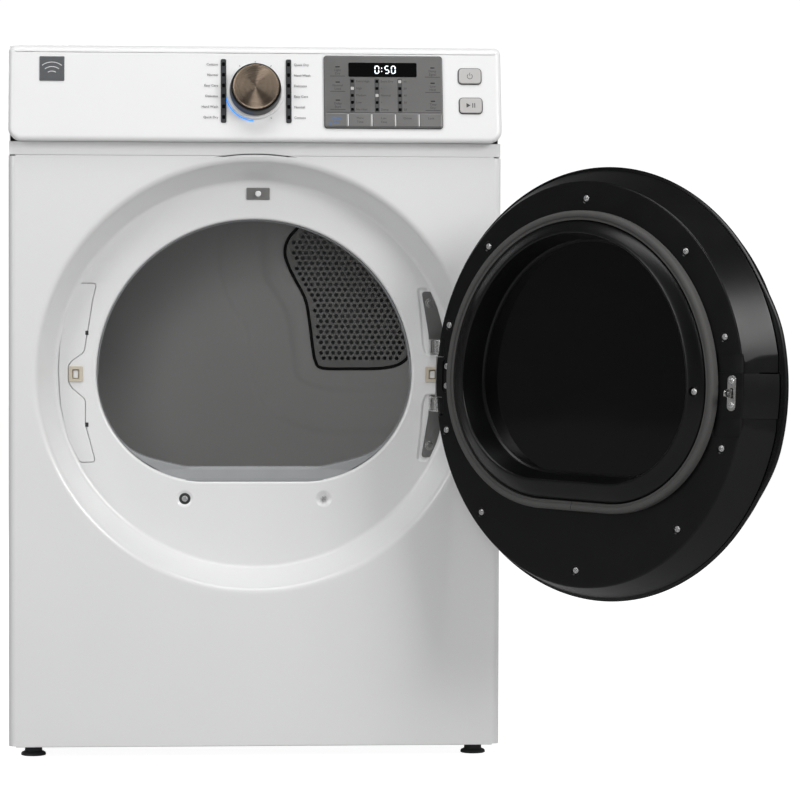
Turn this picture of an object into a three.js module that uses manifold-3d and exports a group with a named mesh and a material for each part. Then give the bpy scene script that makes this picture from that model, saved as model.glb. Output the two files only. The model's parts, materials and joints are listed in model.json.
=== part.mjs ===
// A front-loading clothes dryer with its door swung open: cabinet, control console, drum and drive.
// Millimetres. +X runs to the right of the cabinet, +Y to its back and +Z up. The front panel's outer
// face lies on y = 0 and the floor on z = 0 until the last lines move the origin under the whole object.
import * as THREE from "three";
import { mergeVertices } from "three/addons/utils/BufferGeometryUtils.js";
import Module from "manifold-3d";

const wasm = await Module();
wasm.setup();

// ---- Driving sizes ------------------------------------------------------------------------------

const gap = 0.4; // between pieces that touch in the real machine
const ringSides = 36; // sides of the large rings
const arcSides = 10; // sides of each arc in a drawn outline
const smallSides = 16; // sides of knobs, feet and rollers
const cornerSides = 2; // sides of a rounded corner

// Cabinet
const cabinetWidth = 686;
const cabinetDepth = 720;
const cabinetHeight = 994;
const sheet = 1.2; // steel sheet of the cabinet
const frontCornerRadius = 10; // upright edges of the front panel
const frontReturn = 25; // how far the front panel wraps round each side
const panelBottom = 16; // underside of the cabinet above the floor
const consoleHeight = 134;
const stripHeight = 19; // of the strip under the console
const stripSetback = 3;
const lidHeight = 20; // skirt of the top panel
const flangeWidth = 18; // turned-in edges of the panels
const panWall = 28; // height of the base pan's rim
const footHoleClearance = 0.4;
const lidCornerRadius = 6;
const ventColumns = [-190, 190]; // of the slots in the rear panel
const ventRows = 6;
const ventSize = [120, 7];
const ventPitch = 24;
const ventLowest = 560;
const coverSize = [120, 90, 24]; // of the cover over the mains terminals
const coverWall = 2;
const coverInset = 110; // from the cabinet's left side
const coverDrop = 90; // of its centre below the lid
const coverRadius = 8;
const cordRadius = 9;

// Recess and opening in the front panel
const ringHeight = 535.6; // centre of the recess above the floor
const recessRadius = 297; // at the face
const recessFillet = 11;
const filletSteps = 3;
const bevelWidth = 20; // how much the bevel narrows the recess
const shelfDepth = 50;
const shelfWidth = 52; // of the flat shelf round the loading opening
const openingFlat = 75; // how much nearer the centre the opening's flat bottom lies than its round top

// Door switch at the top of the shelf
const switchX = 4.5;
const switchInset = 23; // from the shelf's edge
const switchPlateSize = [33, 17];
const switchPlateThickness = 2;
const plungerRadius = 4;
const plungerTravel = 4;
const plungerReach = 5;

// Door
const plateClearance = 8; // of the door's inner plate inside the shelf's edge
const plateRounding = 5;
const bezelClearance = 5; // of the bezel inside the recess
const rimSetback = 5; // of the conical side inside the bezel
const doorWall = 3;
const plateFace = 36; // y of the inner plate's outer face with the door shut
const rimFace = -11; // y where the conical side ends
const bezelBack = -13; // y of the bezel's back edge
const bezelFront = -45; // y of the bezel's front face
const bezelTaper = 22; // how far the front edge of the bezel rounds inward
const pullProud = 12; // how far the grip stands out of the bezel
const pullCornerRadius = 40;
const pullHalfHeight = 115;
const glassBorder = 54; // of the bezel round the front glass
const doorGlassThickness = 5;
const doorGlassDome = 5;
const bezelRounding = 14; // depth of the rounded front edge
const bowlClearance = 20; // of the window frame's rim inside the loading opening
const bowlLift = 18; // of its flat bottom above the opening's
const bowlDepth = 22; // how far it stands out of the inner plate
const bowlFlare = 13; // how much wider it is at the plate
const bowlWall = 10;
const windowSetback = 39; // of the window behind the frame's rim
const windowThickness = 5;
const sealOverlap = 7; // of the seal over the edge of the loading opening
const sealFootOverlap = 18; // at the flat bottom
const sealWidth = 13;

// Door hinge
const hingeInset = 25; // of the hinge line inside the recess's edge
const hingeY = -22;
const hingeLean = THREE.MathUtils.degToRad(0.77); // the hinge line leans, so the open door hangs a little low
const doorOpenAngle = THREE.MathUtils.degToRad(135.5);
const hingePinRadius = 3;
const hingePinClearance = 0.4;
const barrelRadius = 7;
const barrelHalfLength = 28;
const armLow = 31; // the hinge arms lie between these two heights above and below the centre
const armHigh = 48;
const armThickness = 6;
const hingePlateThickness = 2;
const hingePlateTop = 117;
const hingePlateWidth = 26;
const hingePlateTip = 10; // width of its upper end
const armBends = [[21, 12], [24, 32]]; // of the arm, to the left of and behind the hinge line
const armFoot = 22;
const leafEdge = 6; // thickness of the leaf's web
const leafPlate = [56, 17]; // inner and outer edges of the leaf, from the hinge line
const armClearance = 3; // around the arms in the door's notches

// Door latch
const latchInset = 26; // of the latch inside the shelf's edge
const catchWidth = 20;
const catchHeight = 22;
const catchDepth = 22;
const slotWidth = 9;
const slotHeight = 12;
const tongueReach = 18;
const strikerWidth = 13;
const strikerHeight = 46;
const tongueWidth = 6;
const tongueHeight = 9;
const catchFlange = 1.6;
const catchMargin = 2; // of the flange round the catch's body
const coverEnd = THREE.MathUtils.degToRad(27); // of the spare cover, above and below the latch
const coverThickness = 3;

// Console
const consoleLean = THREE.MathUtils.degToRad(14);
const consoleNose = 18; // how far the console's lower edge stands before the front panel
const consoleBackDepth = 44;
const consoleWall = 3;
const consoleLowerRadius = 18;
const consoleUpperRadius = 9;
const overlayCentre = [177.3, 3.3];
const overlaySize = [165, 104.5];
const overlayThickness = 2.4;
const displayCentre = [176.5, 35.5];
const displaySize = [96, 21];
const keyCount = 5;
const keyPitch = 33;
const keySize = [30, 19];
const keyRow = -37.6; // height of the key row on the console's face
const keyDepth = 7;
const keyProud = 0.9; // keys stand this far out of the overlay
const powerInset = [44.4, 27.4]; // of the button's centre: in from the cabinet's side, up the face
const startInset = [43.6, -15.4];
const buttonSize = [31, 21.5];
const buttonDepth = 12;
const buttonProud = 3;
const buttonRadius = 4;
const buttonClearance = 0.6;
const knobCentre = [-1, 2.8];
const knobRingRadius = 36;
const knobCapRadius = 32.5;
const knobHeight = 27;
const knobCollarRadius = 39.5;
const knobCollarHeight = 4;
const knobShaftRadius = 4;
const knobSides = 32;
const ledOffset = 45.3; // of each light strip from the cabinet's middle
const ledSize = [7.8, 92.5];
const ledCentreHeight = 4.1;
const insertThickness = 1.4;

// Drum and bulkheads
const drumHeight = 554; // axis above the floor
const drumRadius = 325;
const drumFront = 96;
const drumRearGap = 5; // before the rear bulkhead
const drumWall = 1.2;
const drumBead = 2; // depth of the bead pressed round the drum near its front
const drumBeadStart = 156;
const glideClearance = 1.4; // keeps the glides off the drum as its flat facets pass
const flangeClearance = 8; // of the bulkhead rings that reach into the drum
const flangeWall = 2;
const flangeReach = 24;
const frontBulkheadFace = 84;
const rearBulkheadSetback = 70; // before the cabinet's back
const bulkheadSideClearance = 6.8;
const bulkheadLow = 190;
const bulkheadTopClearance = 89; // under the lid's skirt
const bulkheadRadius = 60;
const collarWall = 3;
const lipRise = 19; // of the lip above the opening's flat bottom
const lipBevel = [3, 4];
const glideHalfWidth = 14;
const glideAngle = THREE.MathUtils.degToRad(28);
const lipFront = 61;
const baffleCount = 3;
const baffleTurn = THREE.MathUtils.degToRad(60); // of the first one from the drum's lowest line
const baffleHeight = 58;
const baffleFoot = 84;
const baffleTip = 11; // radius of its rounded ridge
const baffleSetback = [34, 33]; // from the drum's front and back edges

// Lint filter and duct
const filterHalfWidth = 72;
const filterThickness = 10;
const filterDrop = 150;
const filterCentreY = 71;
const filterClearance = 1.5;
const filterFrame = 7;
const ductHalfWidth = 86;
const ductWall = 2;

// Air grille in the drum's back wall
const grilleReach = [108, 262]; // inner and outer radius
const grilleTurn = [-6, 76]; // degrees up from the right
const grilleThickness = 3;
const grilleHolePitch = 36;
const grilleHoleRadius = 11;
const grilleBorder = 9;

// Drive
const rollerRadius = 35;
const rollerAngle = THREE.MathUtils.degToRad(35); // each side of the drum's lowest line
const rollerWidth = 24;
const rollerSetback = 50; // of the rollers' front before the rear bulkhead
const axleRadius = 6;
const axleClearance = 0.4;
const shaftX = -90;
const shaftHeight = 120;
const motorRadius = 60;
const motorFront = 165;
const motorLength = 135;
const motorSides = 20;
const pulleyRadius = 10;
const beltY = 330;
const beltWidth = 8;
const beltThickness = 2;
const beltClearance = 1.2; // keeps the belt off the drum as its flat facets pass
const beltSides = 24;
const idlerX = 40;
const idlerHeight = 165;
const idlerRadius = 20;
const idlerPivotX = -35;
const idlerPivotHeight = 62;
const idlerArmY = 308;
const idlerArmThickness = 4;
const blowerRadius = 90;
const blowerFront = 88;
const blowerDepth = 62;
const blowerWheelRadius = 72;
const blowerInletRadius = 50;
const bladeCount = 12;
const exhaustX = 60;
const exhaustHeight = 78;
const exhaustRadius = 51;
const exhaustWall = 1.6;
const exhaustReach = 25; // of the outlet collar behind the cabinet
const exhaustSides = 32;
const heaterCentre = [170, 110]; // right of and above the drum's axis
const heaterSize = [270, 330];
const heaterRadius = 24;
const heaterSetback = 14; // before the rear panel

// Feet
const footRadius = 17.5;
const footHeight = 12;
const footInset = 33; // from the cabinet's side
const footSetback = 45; // from its front and back
const studRadius = 5;
const studLength = 34;

// ---- Materials ----------------------------------------------------------------------------------

const paint = { color: 0xdadcdd, roughness: 0.35, metalness: 0.0 };
const whitePlastic = { color: 0xe2e4e5, roughness: 0.4, metalness: 0.0 };
const silverFilm = { color: 0x84878a, roughness: 0.35, metalness: 0.6 };
const blackPlastic = { color: 0x141416, roughness: 0.25, metalness: 0.0 };
const darkPlastic = { color: 0x3a3c3f, roughness: 0.55, metalness: 0.0 };
const darkGlass = { color: 0x101012, roughness: 0.05, metalness: 0.0 };
const greyRubber = { color: 0x676563, roughness: 0.8, metalness: 0.0 };
const zinc = { color: 0xa9a9a5, roughness: 0.35, metalness: 0.9 };
const chrome = { color: 0xc4c6c8, roughness: 0.12, metalness: 1.0 };
const bronze = { color: 0x9b8874, roughness: 0.3, metalness: 0.9 };
const galvanised = { color: 0x9a9c9d, roughness: 0.45, metalness: 0.85 };
const ivory = { color: 0xded8c4, roughness: 0.5, metalness: 0.0 };
const warmGrey = { color: 0x716f71, roughness: 0.5, metalness: 0.2 };

// ---- Helpers ------------------------------------------------------------------------------------

function toSolid(geometry) {
  const bare = geometry.index ? geometry.toNonIndexed() : geometry.clone();
  bare.deleteAttribute("normal");
  bare.deleteAttribute("uv");
  const merged = mergeVertices(bare, 1e-3);
  const vertProperties = merged.attributes.position.array;
  const triVerts = new Uint32Array(merged.index.array);
  return new wasm.Manifold(new wasm.Mesh({ numProp: 3, vertProperties, triVerts }));
}

function toGeometry(solid) {
  const mesh = solid.getMesh();
  const geometry = new THREE.BufferGeometry();
  geometry.setAttribute("position", new THREE.BufferAttribute(mesh.vertProperties, 3));
  geometry.setIndex(new THREE.BufferAttribute(mesh.triVerts, 1));
  geometry.computeVertexNormals();
  return geometry;
}

function join(...geometries) {
  return toGeometry(geometries.map(toSolid).reduce((sum, next) => sum.add(next)));
}

function cut(body, ...tools) {
  return toGeometry(tools.map(toSolid).reduce((rest, tool) => rest.subtract(tool), toSolid(body)));
}

function common(first, second) {
  return toGeometry(toSolid(first).intersect(toSolid(second)));
}

function box(x0, x1, y0, y1, z0, z1) {
  const geometry = new THREE.BoxGeometry(x1 - x0, y1 - y0, z1 - z0);
  return geometry.translate((x0 + x1) / 2, (y0 + y1) / 2, (z0 + z1) / 2);
}

// A shape drawn in x and y, pulled up from z0 to z1.
function pullUp(shape, z0, z1, sides = arcSides) {
  const settings = { depth: z1 - z0, bevelEnabled: false, curveSegments: sides };
  const geometry = new THREE.ExtrudeGeometry(shape, settings);
  return geometry.translate(0, 0, z0);
}

// A shape drawn in x and z (seen from the front), pulled back from y0 to y1.
function pullBack(shape, y0, y1, sides = arcSides) {
  const settings = { depth: y1 - y0, bevelEnabled: false, curveSegments: sides };
  const geometry = new THREE.ExtrudeGeometry(shape, settings);
  return geometry.rotateX(Math.PI / 2).translate(0, y1, 0);
}

// A shape drawn in y and z (seen from the side), pulled from x0 to x1.
function pullAcross(shape, x0, x1) {
  const geometry = new THREE.ExtrudeGeometry(shape, { depth: x1 - x0, bevelEnabled: false });
  const sideways = new THREE.Matrix4().makeBasis(
    new THREE.Vector3(0, 1, 0),
    new THREE.Vector3(0, 0, 1),
    new THREE.Vector3(1, 0, 0),
  );
  return geometry.applyMatrix4(sideways).translate(x0, 0, 0);
}

// A cylinder about an axis that runs along y through (x, z).
function rodAlongY(x, z, radius, y0, y1, sides = smallSides) {
  return new THREE.CylinderGeometry(radius, radius, y1 - y0, sides).translate(x, (y0 + y1) / 2, z);
}

// A cylinder about an axis that runs along z through (x, y).
function rodAlongZ(x, y, radius, z0, z1, sides = smallSides) {
  const geometry = new THREE.CylinderGeometry(radius, radius, z1 - z0, sides).rotateX(Math.PI / 2);
  return geometry.translate(x, y, (z0 + z1) / 2);
}

// A ring about the y axis from a closed outline of [radius, y] points, listed anticlockwise.
function turned(outline, sides = ringSides) {
  const points = [...outline, outline[0]].map(([radius, y]) => new THREE.Vector2(radius, y));
  return new THREE.LatheGeometry(points, sides);
}

function polygon(points) {
  return new THREE.Shape(points.map(([a, b]) => new THREE.Vector2(a, b)));
}

function rectangle(centreX, centreY, width, height, radius) {
  const left = centreX - width / 2;
  const right = centreX + width / 2;
  const low = centreY - height / 2;
  const high = centreY + height / 2;
  const shape = new THREE.Shape();
  shape.absarc(right - radius, low + radius, radius, -Math.PI / 2, 0);
  shape.absarc(right - radius, high - radius, radius, 0, Math.PI / 2);
  shape.absarc(left + radius, high - radius, radius, Math.PI / 2, Math.PI);
  shape.absarc(left + radius, low + radius, radius, Math.PI, 1.5 * Math.PI);
  return shape;
}

// The outline of the loading opening, window and seal: a half circle over a flat, round-cornered bottom.
function loadingOutline(radius, drop) {
  const shape = new THREE.Shape();
  shape.absarc(0, 0, radius, 0, Math.PI);
  shape.absarc(drop - radius, 0, drop, Math.PI, 1.5 * Math.PI);
  shape.absarc(radius - drop, 0, drop, 1.5 * Math.PI, 2 * Math.PI);
  return shape;
}

// The tight loop round circles [x, y, radius], listed anticlockwise.
function loopRound(circles) {
  const normals = circles.map(([x, y, radius], i) => {
    const [nextX, nextY, nextRadius] = circles[(i + 1) % circles.length];
    const distance = Math.hypot(nextX - x, nextY - y);
    return Math.atan2(nextY - y, nextX - x) - Math.acos((radius - nextRadius) / distance);
  });
  const shape = new THREE.Shape();
  circles.forEach(([x, y, radius], i) => {
    const start = normals[(i + circles.length - 1) % circles.length];
    const turn = (normals[i] - start + 4 * Math.PI) % (2 * Math.PI);
    shape.absarc(x, y, radius, start, start + turn);
  });
  return shape;
}

function addPiece(parent, name, geometry, look) {
  const mesh = new THREE.Mesh(geometry, new THREE.MeshStandardMaterial(look));
  mesh.name = name;
  parent.add(mesh);
  return mesh;
}

// ---- Sizes that follow from the ones above ------------------------------------------------------

const halfWidth = cabinetWidth / 2;
const insideHalfWidth = halfWidth - sheet;
const rearFace = cabinetDepth - sheet;
const lidLow = cabinetHeight - lidHeight;
const stripTop = cabinetHeight - consoleHeight;
const panelTop = stripTop - stripHeight;
const shelfRadius = recessRadius - bevelWidth;
const openingRadius = shelfRadius - shelfWidth;
const openingDrop = openingRadius - openingFlat;
const switchHeight = shelfRadius - switchInset;
const plateRadius = shelfRadius - plateClearance;
const bezelRadius = recessRadius - bezelClearance;
const rimRadius = bezelRadius - rimSetback;
const pullReach = bezelRadius + pullProud;
const doorGlassRadius = bezelRadius - glassBorder;
const bowlRadius = openingRadius - bowlClearance;
const bowlDrop = openingDrop - bowlLift;
const sealRadius = openingRadius + sealOverlap;
const sealDrop = openingDrop + sealFootOverlap;
const hingeX = recessRadius - hingeInset;
const latchX = latchInset - shelfRadius;
const powerCentre = [halfWidth - powerInset[0], powerInset[1]];
const startCentre = [halfWidth - startInset[0], startInset[1]];
const flangeRadius = drumRadius - flangeClearance;
const rearBulkheadFace = cabinetDepth - rearBulkheadSetback;
const drumBack = rearBulkheadFace - drumRearGap;
const bulkheadHalfWidth = insideHalfWidth - bulkheadSideClearance;
const bulkheadHigh = lidLow - bulkheadTopClearance;
const lipDrop = openingDrop - lipRise;
const baffleFront = drumFront + baffleSetback[0];
const baffleBack = drumBack - baffleSetback[1];
const rollerY = rearBulkheadFace - rollerSetback;

// ---- Cabinet ------------------------------------------------------------------------------------

function basePan() {
  const low = panelBottom + sheet + gap;
  const reach = insideHalfWidth - sheet - gap;
  const front = frontCornerRadius + gap;
  const back = rearFace - sheet - gap;
  const tray = cut(
    box(-reach, reach, front, back, low, low + panWall),
    box(-reach + sheet, reach - sheet, front + sheet, back - sheet, low + sheet, low + panWall + 1),
  );
  const cradleHalf = 34;
  const cradleLength = 14;
  const cradles = [motorFront + 12, motorFront + motorLength - 12 - cradleLength].map((y) =>
    box(shaftX - cradleHalf, shaftX + cradleHalf, y, y + cradleLength, low, shaftHeight - motorRadius / 2),
  );
  const post = box(
    idlerPivotX - 10, idlerPivotX + 10, idlerArmY + idlerArmThickness + gap,
    idlerArmY + idlerArmThickness + 5, low, idlerPivotHeight + 10,
  );
  const pin = rodAlongY(idlerPivotX, idlerPivotHeight, hingePinRadius, idlerArmY, idlerArmY + 8);
  const motorRoom = rodAlongY(
    shaftX, shaftHeight, motorRadius + gap, motorFront, motorFront + motorLength, motorSides,
  );
  const ductRoom = rodAlongY(exhaustX, exhaustHeight, exhaustRadius + 2, back - 10, back + 10, ringSides);
  const studRoom = footPlaces().map(([x, y]) =>
    rodAlongZ(x, y, studRadius + footHoleClearance, low - 1, low + 5),
  );
  return cut(join(tray, ...cradles, post, pin), motorRoom, ductRoom, ...studRoom);
}

function footPlaces() {
  const reach = halfWidth - footInset;
  const places = [];
  for (const x of [-reach, reach])
    for (const y of [footSetback, cabinetDepth - footSetback]) places.push([x, y]);
  return places;
}

function foot() {
  const pad = rodAlongZ(0, 0, footRadius, 0, footHeight);
  const stud = rodAlongZ(0, 0, studRadius, 1, studLength, 12);
  return join(pad, stud);
}

// One side of the cabinet, drawn for the right: the outer sheet, its turned-in back edge and foot flange.
function sidePanel() {
  const front = frontReturn + gap;
  const outline = polygon([
    [insideHalfWidth, front],
    [halfWidth, front],
    [halfWidth, rearFace - gap],
    [halfWidth - flangeWidth, rearFace - gap],
    [halfWidth - flangeWidth, rearFace - gap - sheet],
    [insideHalfWidth, rearFace - gap - sheet],
  ]);
  const wall = pullUp(outline, panelBottom, lidLow - gap);
  const flange = box(
    halfWidth - flangeWidth, halfWidth - sheet / 2, front, rearFace - gap - sheet / 2,
    panelBottom, panelBottom + sheet,
  );
  const footRoom = footPlaces().map(([x, y]) =>
    rodAlongZ(x, y, studRadius + footHoleClearance, 0, panelBottom + 5),
  );
  const consoleRoom = box(
    0, halfWidth + 1, front - 1, consoleBackDepth + gap, panelTop + gap, cabinetHeight,
  );
  return cut(join(wall, flange), consoleRoom, ...footRoom);
}

function rearPanel() {
  const plate = box(-halfWidth, halfWidth, rearFace, cabinetDepth, panelBottom, lidLow - gap);
  const outletRadius = exhaustRadius + 2;
  const outlet = rodAlongY(exhaustX, exhaustHeight, outletRadius, rearFace - 1, cabinetDepth + 1, ringSides);
  const [length, height] = ventSize;
  const vents = [];
  for (let row = 0; row < ventRows; row++)
    for (const x of ventColumns) {
      const z = ventLowest + row * ventPitch;
      vents.push(box(x - length / 2, x + length / 2, rearFace - 1, cabinetDepth + 1, z, z + height));
    }
  return cut(plate, outlet, ...vents);
}

function terminalCover() {
  const [width, height, depth] = coverSize;
  const x = coverInset - halfWidth;
  const z = lidLow - coverDrop;
  const back = cabinetDepth + gap;
  const outer = rectangle(x, z, width, height, coverRadius);
  const inner = rectangle(x, z, width - 2 * coverWall, height - 2 * coverWall, coverRadius - coverWall);
  const shell = cut(
    pullBack(outer, back, back + depth, 6),
    pullBack(inner, back - 1, back + depth - coverWall, 6),
  );
  const cordHole = rodAlongZ(x, back + depth / 2, cordRadius, z - height, z);
  return cut(shell, cordHole);
}

// The lid: a flat top with rounded corners over a skirt, notched at the front for the console.
function topPanel() {
  const front = consoleBackDepth + gap;
  const middleY = (front + cabinetDepth) / 2;
  const shape = rectangle(0, middleY, cabinetWidth, cabinetDepth - front, lidCornerRadius);
  const innerSize = [cabinetWidth - 4 * sheet, cabinetDepth - front - 4 * sheet];
  const inner = rectangle(0, middleY, ...innerSize, lidCornerRadius - 2);
  return cut(
    pullUp(shape, lidLow, cabinetHeight, 6),
    pullUp(inner, lidLow - 1, cabinetHeight - 2 * sheet, 6),
  );
}

function recessOutline() {
  const lean = Math.atan2(recessRadius - shelfRadius, shelfDepth);
  const outline = [[recessRadius + recessFillet + 8, 0]];
  const fillet = [];
  for (let step = 0; step <= filletSteps; step++) {
    const turn = (step / filletSteps) * (Math.PI / 2 - lean);
    fillet.push([turn, Math.sin(turn), 1 - Math.cos(turn)]);
  }
  for (const [, sine, rise] of fillet)
    outline.push([recessRadius + recessFillet * (1 - sine), recessFillet * rise]);
  outline.push([shelfRadius, shelfDepth]);
  const innermost = openingDrop - 15;
  outline.push([innermost, shelfDepth]);
  outline.push([innermost, shelfDepth + sheet]);
  outline.push([shelfRadius + sheet, shelfDepth + sheet]);
  for (const [, sine, rise] of fillet.toReversed())
    outline.push([recessRadius + recessFillet * (1 - sine) + sheet * sine, recessFillet * rise + sheet]);
  outline.push([recessRadius + recessFillet + 8, sheet]);
  return outline.toReversed();
}

// The front panel: a sheet with rounded upright edges, and the bevelled recess and shelf for the door.
function frontPanel() {
  const outer = new THREE.Shape();
  const bendX = halfWidth - frontCornerRadius;
  outer.moveTo(-halfWidth, frontReturn);
  outer.absarc(-bendX, frontCornerRadius, frontCornerRadius, Math.PI, 1.5 * Math.PI);
  outer.absarc(bendX, frontCornerRadius, frontCornerRadius, 1.5 * Math.PI, 2 * Math.PI);
  outer.lineTo(halfWidth, frontReturn);
  outer.lineTo(insideHalfWidth, frontReturn);
  const bend = frontCornerRadius - sheet;
  outer.absarc(bendX, frontCornerRadius, bend, 2 * Math.PI, 1.5 * Math.PI, true);
  outer.absarc(-bendX, frontCornerRadius, bend, 1.5 * Math.PI, Math.PI, true);
  outer.lineTo(-insideHalfWidth, frontReturn);
  const wall = pullUp(outer, panelBottom, panelTop, 6);
  const flanges = [panelBottom, panelTop - sheet].map((z) =>
    box(-bendX, bendX, sheet / 2, frontReturn, z, z + sheet),
  );
  const hole = rodAlongY(0, ringHeight, recessRadius + recessFillet + 4, -1, sheet + 1, ringSides);
  const pan = cut(join(wall, ...flanges), hole);
  const recess = turned(recessOutline()).translate(0, 0, ringHeight);
  const doorway = pullBack(loadingOutline(openingRadius, openingDrop), shelfDepth - 2, shelfDepth + 4);
  doorway.translate(0, 0, ringHeight);
  const catchHoles = [latchX, -latchX].map((x) => catchRoom(x));
  const switchHole = rodAlongY(
    switchX, ringHeight + switchHeight, plungerRadius + 1, shelfDepth - 2, shelfDepth + 4,
  );
  return cut(join(pan, recess), doorway, ...catchHoles, switchHole);
}

function frontStrip() {
  const low = panelTop + gap;
  const back = stripSetback + 24;
  const reach = halfWidth - 1;
  const face = box(-reach, reach, stripSetback, stripSetback + sheet, low, stripTop - gap);
  const shelf = box(-reach, reach, stripSetback, back, low, low + sheet);
  const ledge = box(-reach, reach, stripSetback, back, stripTop - gap - sheet, stripTop - gap);
  return join(face, shelf, ledge);
}

// Door switch: a face plate at the top of the recess with a spring-loaded white plunger.
function switchPlate() {
  const front = shelfDepth - gap - switchPlateThickness;
  const plate = pullBack(rectangle(switchX, switchHeight, ...switchPlateSize, 3), front, shelfDepth - gap, 6);
  return cut(plate, rodAlongY(switchX, switchHeight, plungerRadius + gap, front - 4, shelfDepth + 2));
}

function plunger() {
  const front = shelfDepth - gap - switchPlateThickness - plungerReach;
  return rodAlongY(switchX, switchHeight, plungerRadius, front, shelfDepth + plungerTravel + 8);
}

// ---- Latch and hinge hardware on the shelf --------------------------------------------------------

function catchRoom(x) {
  const across = catchWidth / 2 - catchMargin;
  const up = catchHeight / 2 - catchMargin;
  return box(x - across, x + across, shelfDepth - 2, shelfDepth + 4, ringHeight - up, ringHeight + up);
}

// A catch: a flanged block through the shelf with a slot for the door's tongue.
function catchBlock(x) {
  const flangeBack = shelfDepth - gap;
  const flange = box(
    x - catchWidth / 2, x + catchWidth / 2, flangeBack - catchFlange, flangeBack,
    -catchHeight / 2, catchHeight / 2,
  );
  const inset = catchMargin + gap;
  const body = box(
    x - catchWidth / 2 + inset, x + catchWidth / 2 - inset, flangeBack - 1, shelfDepth + catchDepth,
    -catchHeight / 2 + inset, catchHeight / 2 - inset,
  );
  const slot = box(
    x - slotWidth / 2, x + slotWidth / 2, flangeBack - 4, shelfDepth + catchDepth - 3,
    -slotHeight / 2, slotHeight / 2,
  );
  return cut(join(flange, body), slot);
}

// A blank cover over the spare hinge pockets, beside the catch on the latch side.
function spareCover() {
  const outer = shelfRadius - 4;
  const tipHeight = outer * Math.sin(coverEnd);
  const nearX = latchX + catchWidth / 2 + 2;
  const farX = latchX - catchWidth / 2 - 1;
  const catchEdge = catchHeight / 2 + 3;
  const shape = new THREE.Shape();
  shape.absarc(0, 0, outer, Math.PI - coverEnd, Math.PI + coverEnd);
  shape.lineTo(nearX + 17, -tipHeight);
  shape.lineTo(nearX + 2, -tipHeight * 0.56);
  shape.lineTo(nearX + 2, -armLow - 5);
  shape.lineTo(farX, -catchEdge);
  shape.lineTo(farX, catchEdge);
  shape.lineTo(nearX, armLow);
  shape.lineTo(nearX + 17, tipHeight);
  return pullBack(shape, shelfDepth - coverThickness - gap, shelfDepth - gap, 24);
}

// A path of straight bars of one width, drawn in plan, with round joints.
function barPath(points, width, z0, z1) {
  const bars = [];
  for (let i = 1; i < points.length; i++) {
    const [x0, y0] = points[i - 1];
    const [x1, y1] = points[i];
    bars.push(pullUp(loopRound([[x0, y0, width / 2], [x1, y1, width / 2]]), z0, z1, 6));
  }
  return join(...bars);
}

function leanedAboutHinge(geometry) {
  return geometry.translate(-hingeX, -hingeY, 0).rotateY(hingeLean).translate(hingeX, hingeY, 0);
}

// One hinge bracket, drawn for the upper half: a plate on the shelf, a curved arm and a pin.
function hingeBracket(side) {
  const back = shelfDepth - gap;
  const plateRight = hingeX - 10;
  const plateLeft = plateRight - hingePlateWidth;
  const outline = polygon([
    [plateLeft, side * hingePlateTop],
    [plateLeft + 6, side * armLow],
    [plateRight, side * armLow],
    [plateRight, side * (hingePlateTop / 2)],
    [plateLeft + hingePlateTip, side * hingePlateTop],
  ]);
  const plate = pullBack(outline, back - hingePlateThickness, back);
  const low = Math.min(side * armLow, side * armHigh);
  const bends = armBends.map(([inward, behind]) => [hingeX - inward, hingeY + behind]);
  const foot = [hingeX - armFoot, back - armThickness / 2];
  const arm = barPath([[hingeX, hingeY], ...bends, foot], armThickness, low, low + armHigh - armLow);
  const boss = rodAlongZ(hingeX, hingeY, barrelRadius, low, low + armHigh - armLow);
  const pinEnds = [side * 4, side * (armLow + 4)].sort((a, b) => a - b);
  const pin = rodAlongZ(hingeX, hingeY, hingePinRadius, ...pinEnds, 12);
  return join(plate, arm, leanedAboutHinge(join(boss, pin)));
}

// ---- Console ------------------------------------------------------------------------------------

const consoleMiddle = (stripTop + cabinetHeight) / 2;
const consoleFaceHeight = (cabinetHeight - stripTop) / Math.cos(consoleLean);
const consoleFaceY = ((cabinetHeight - stripTop) / 2) * Math.tan(consoleLean) - consoleNose;
// The face's own frame: x to the right, y up along the leaning face, z straight out of it.
const consolePlace = new THREE.Matrix4().makeRotationX(Math.PI / 2 - consoleLean);
consolePlace.setPosition(0, consoleFaceY, consoleMiddle);

function onConsole(geometry) {
  return geometry.applyMatrix4(consolePlace);
}

function plateOnFace([x, y], [width, height], radius, z0, z1, sides = cornerSides) {
  return pullUp(rectangle(x, y, width, height, radius), z0, z1, sides);
}

function grow([width, height], amount) {
  return [width + 2 * amount, height + 2 * amount];
}

function rodOnFace([x, y], radius, z0, z1, sides = smallSides) {
  return rodAlongZ(x, y, radius, z0, z1, sides);
}

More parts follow.
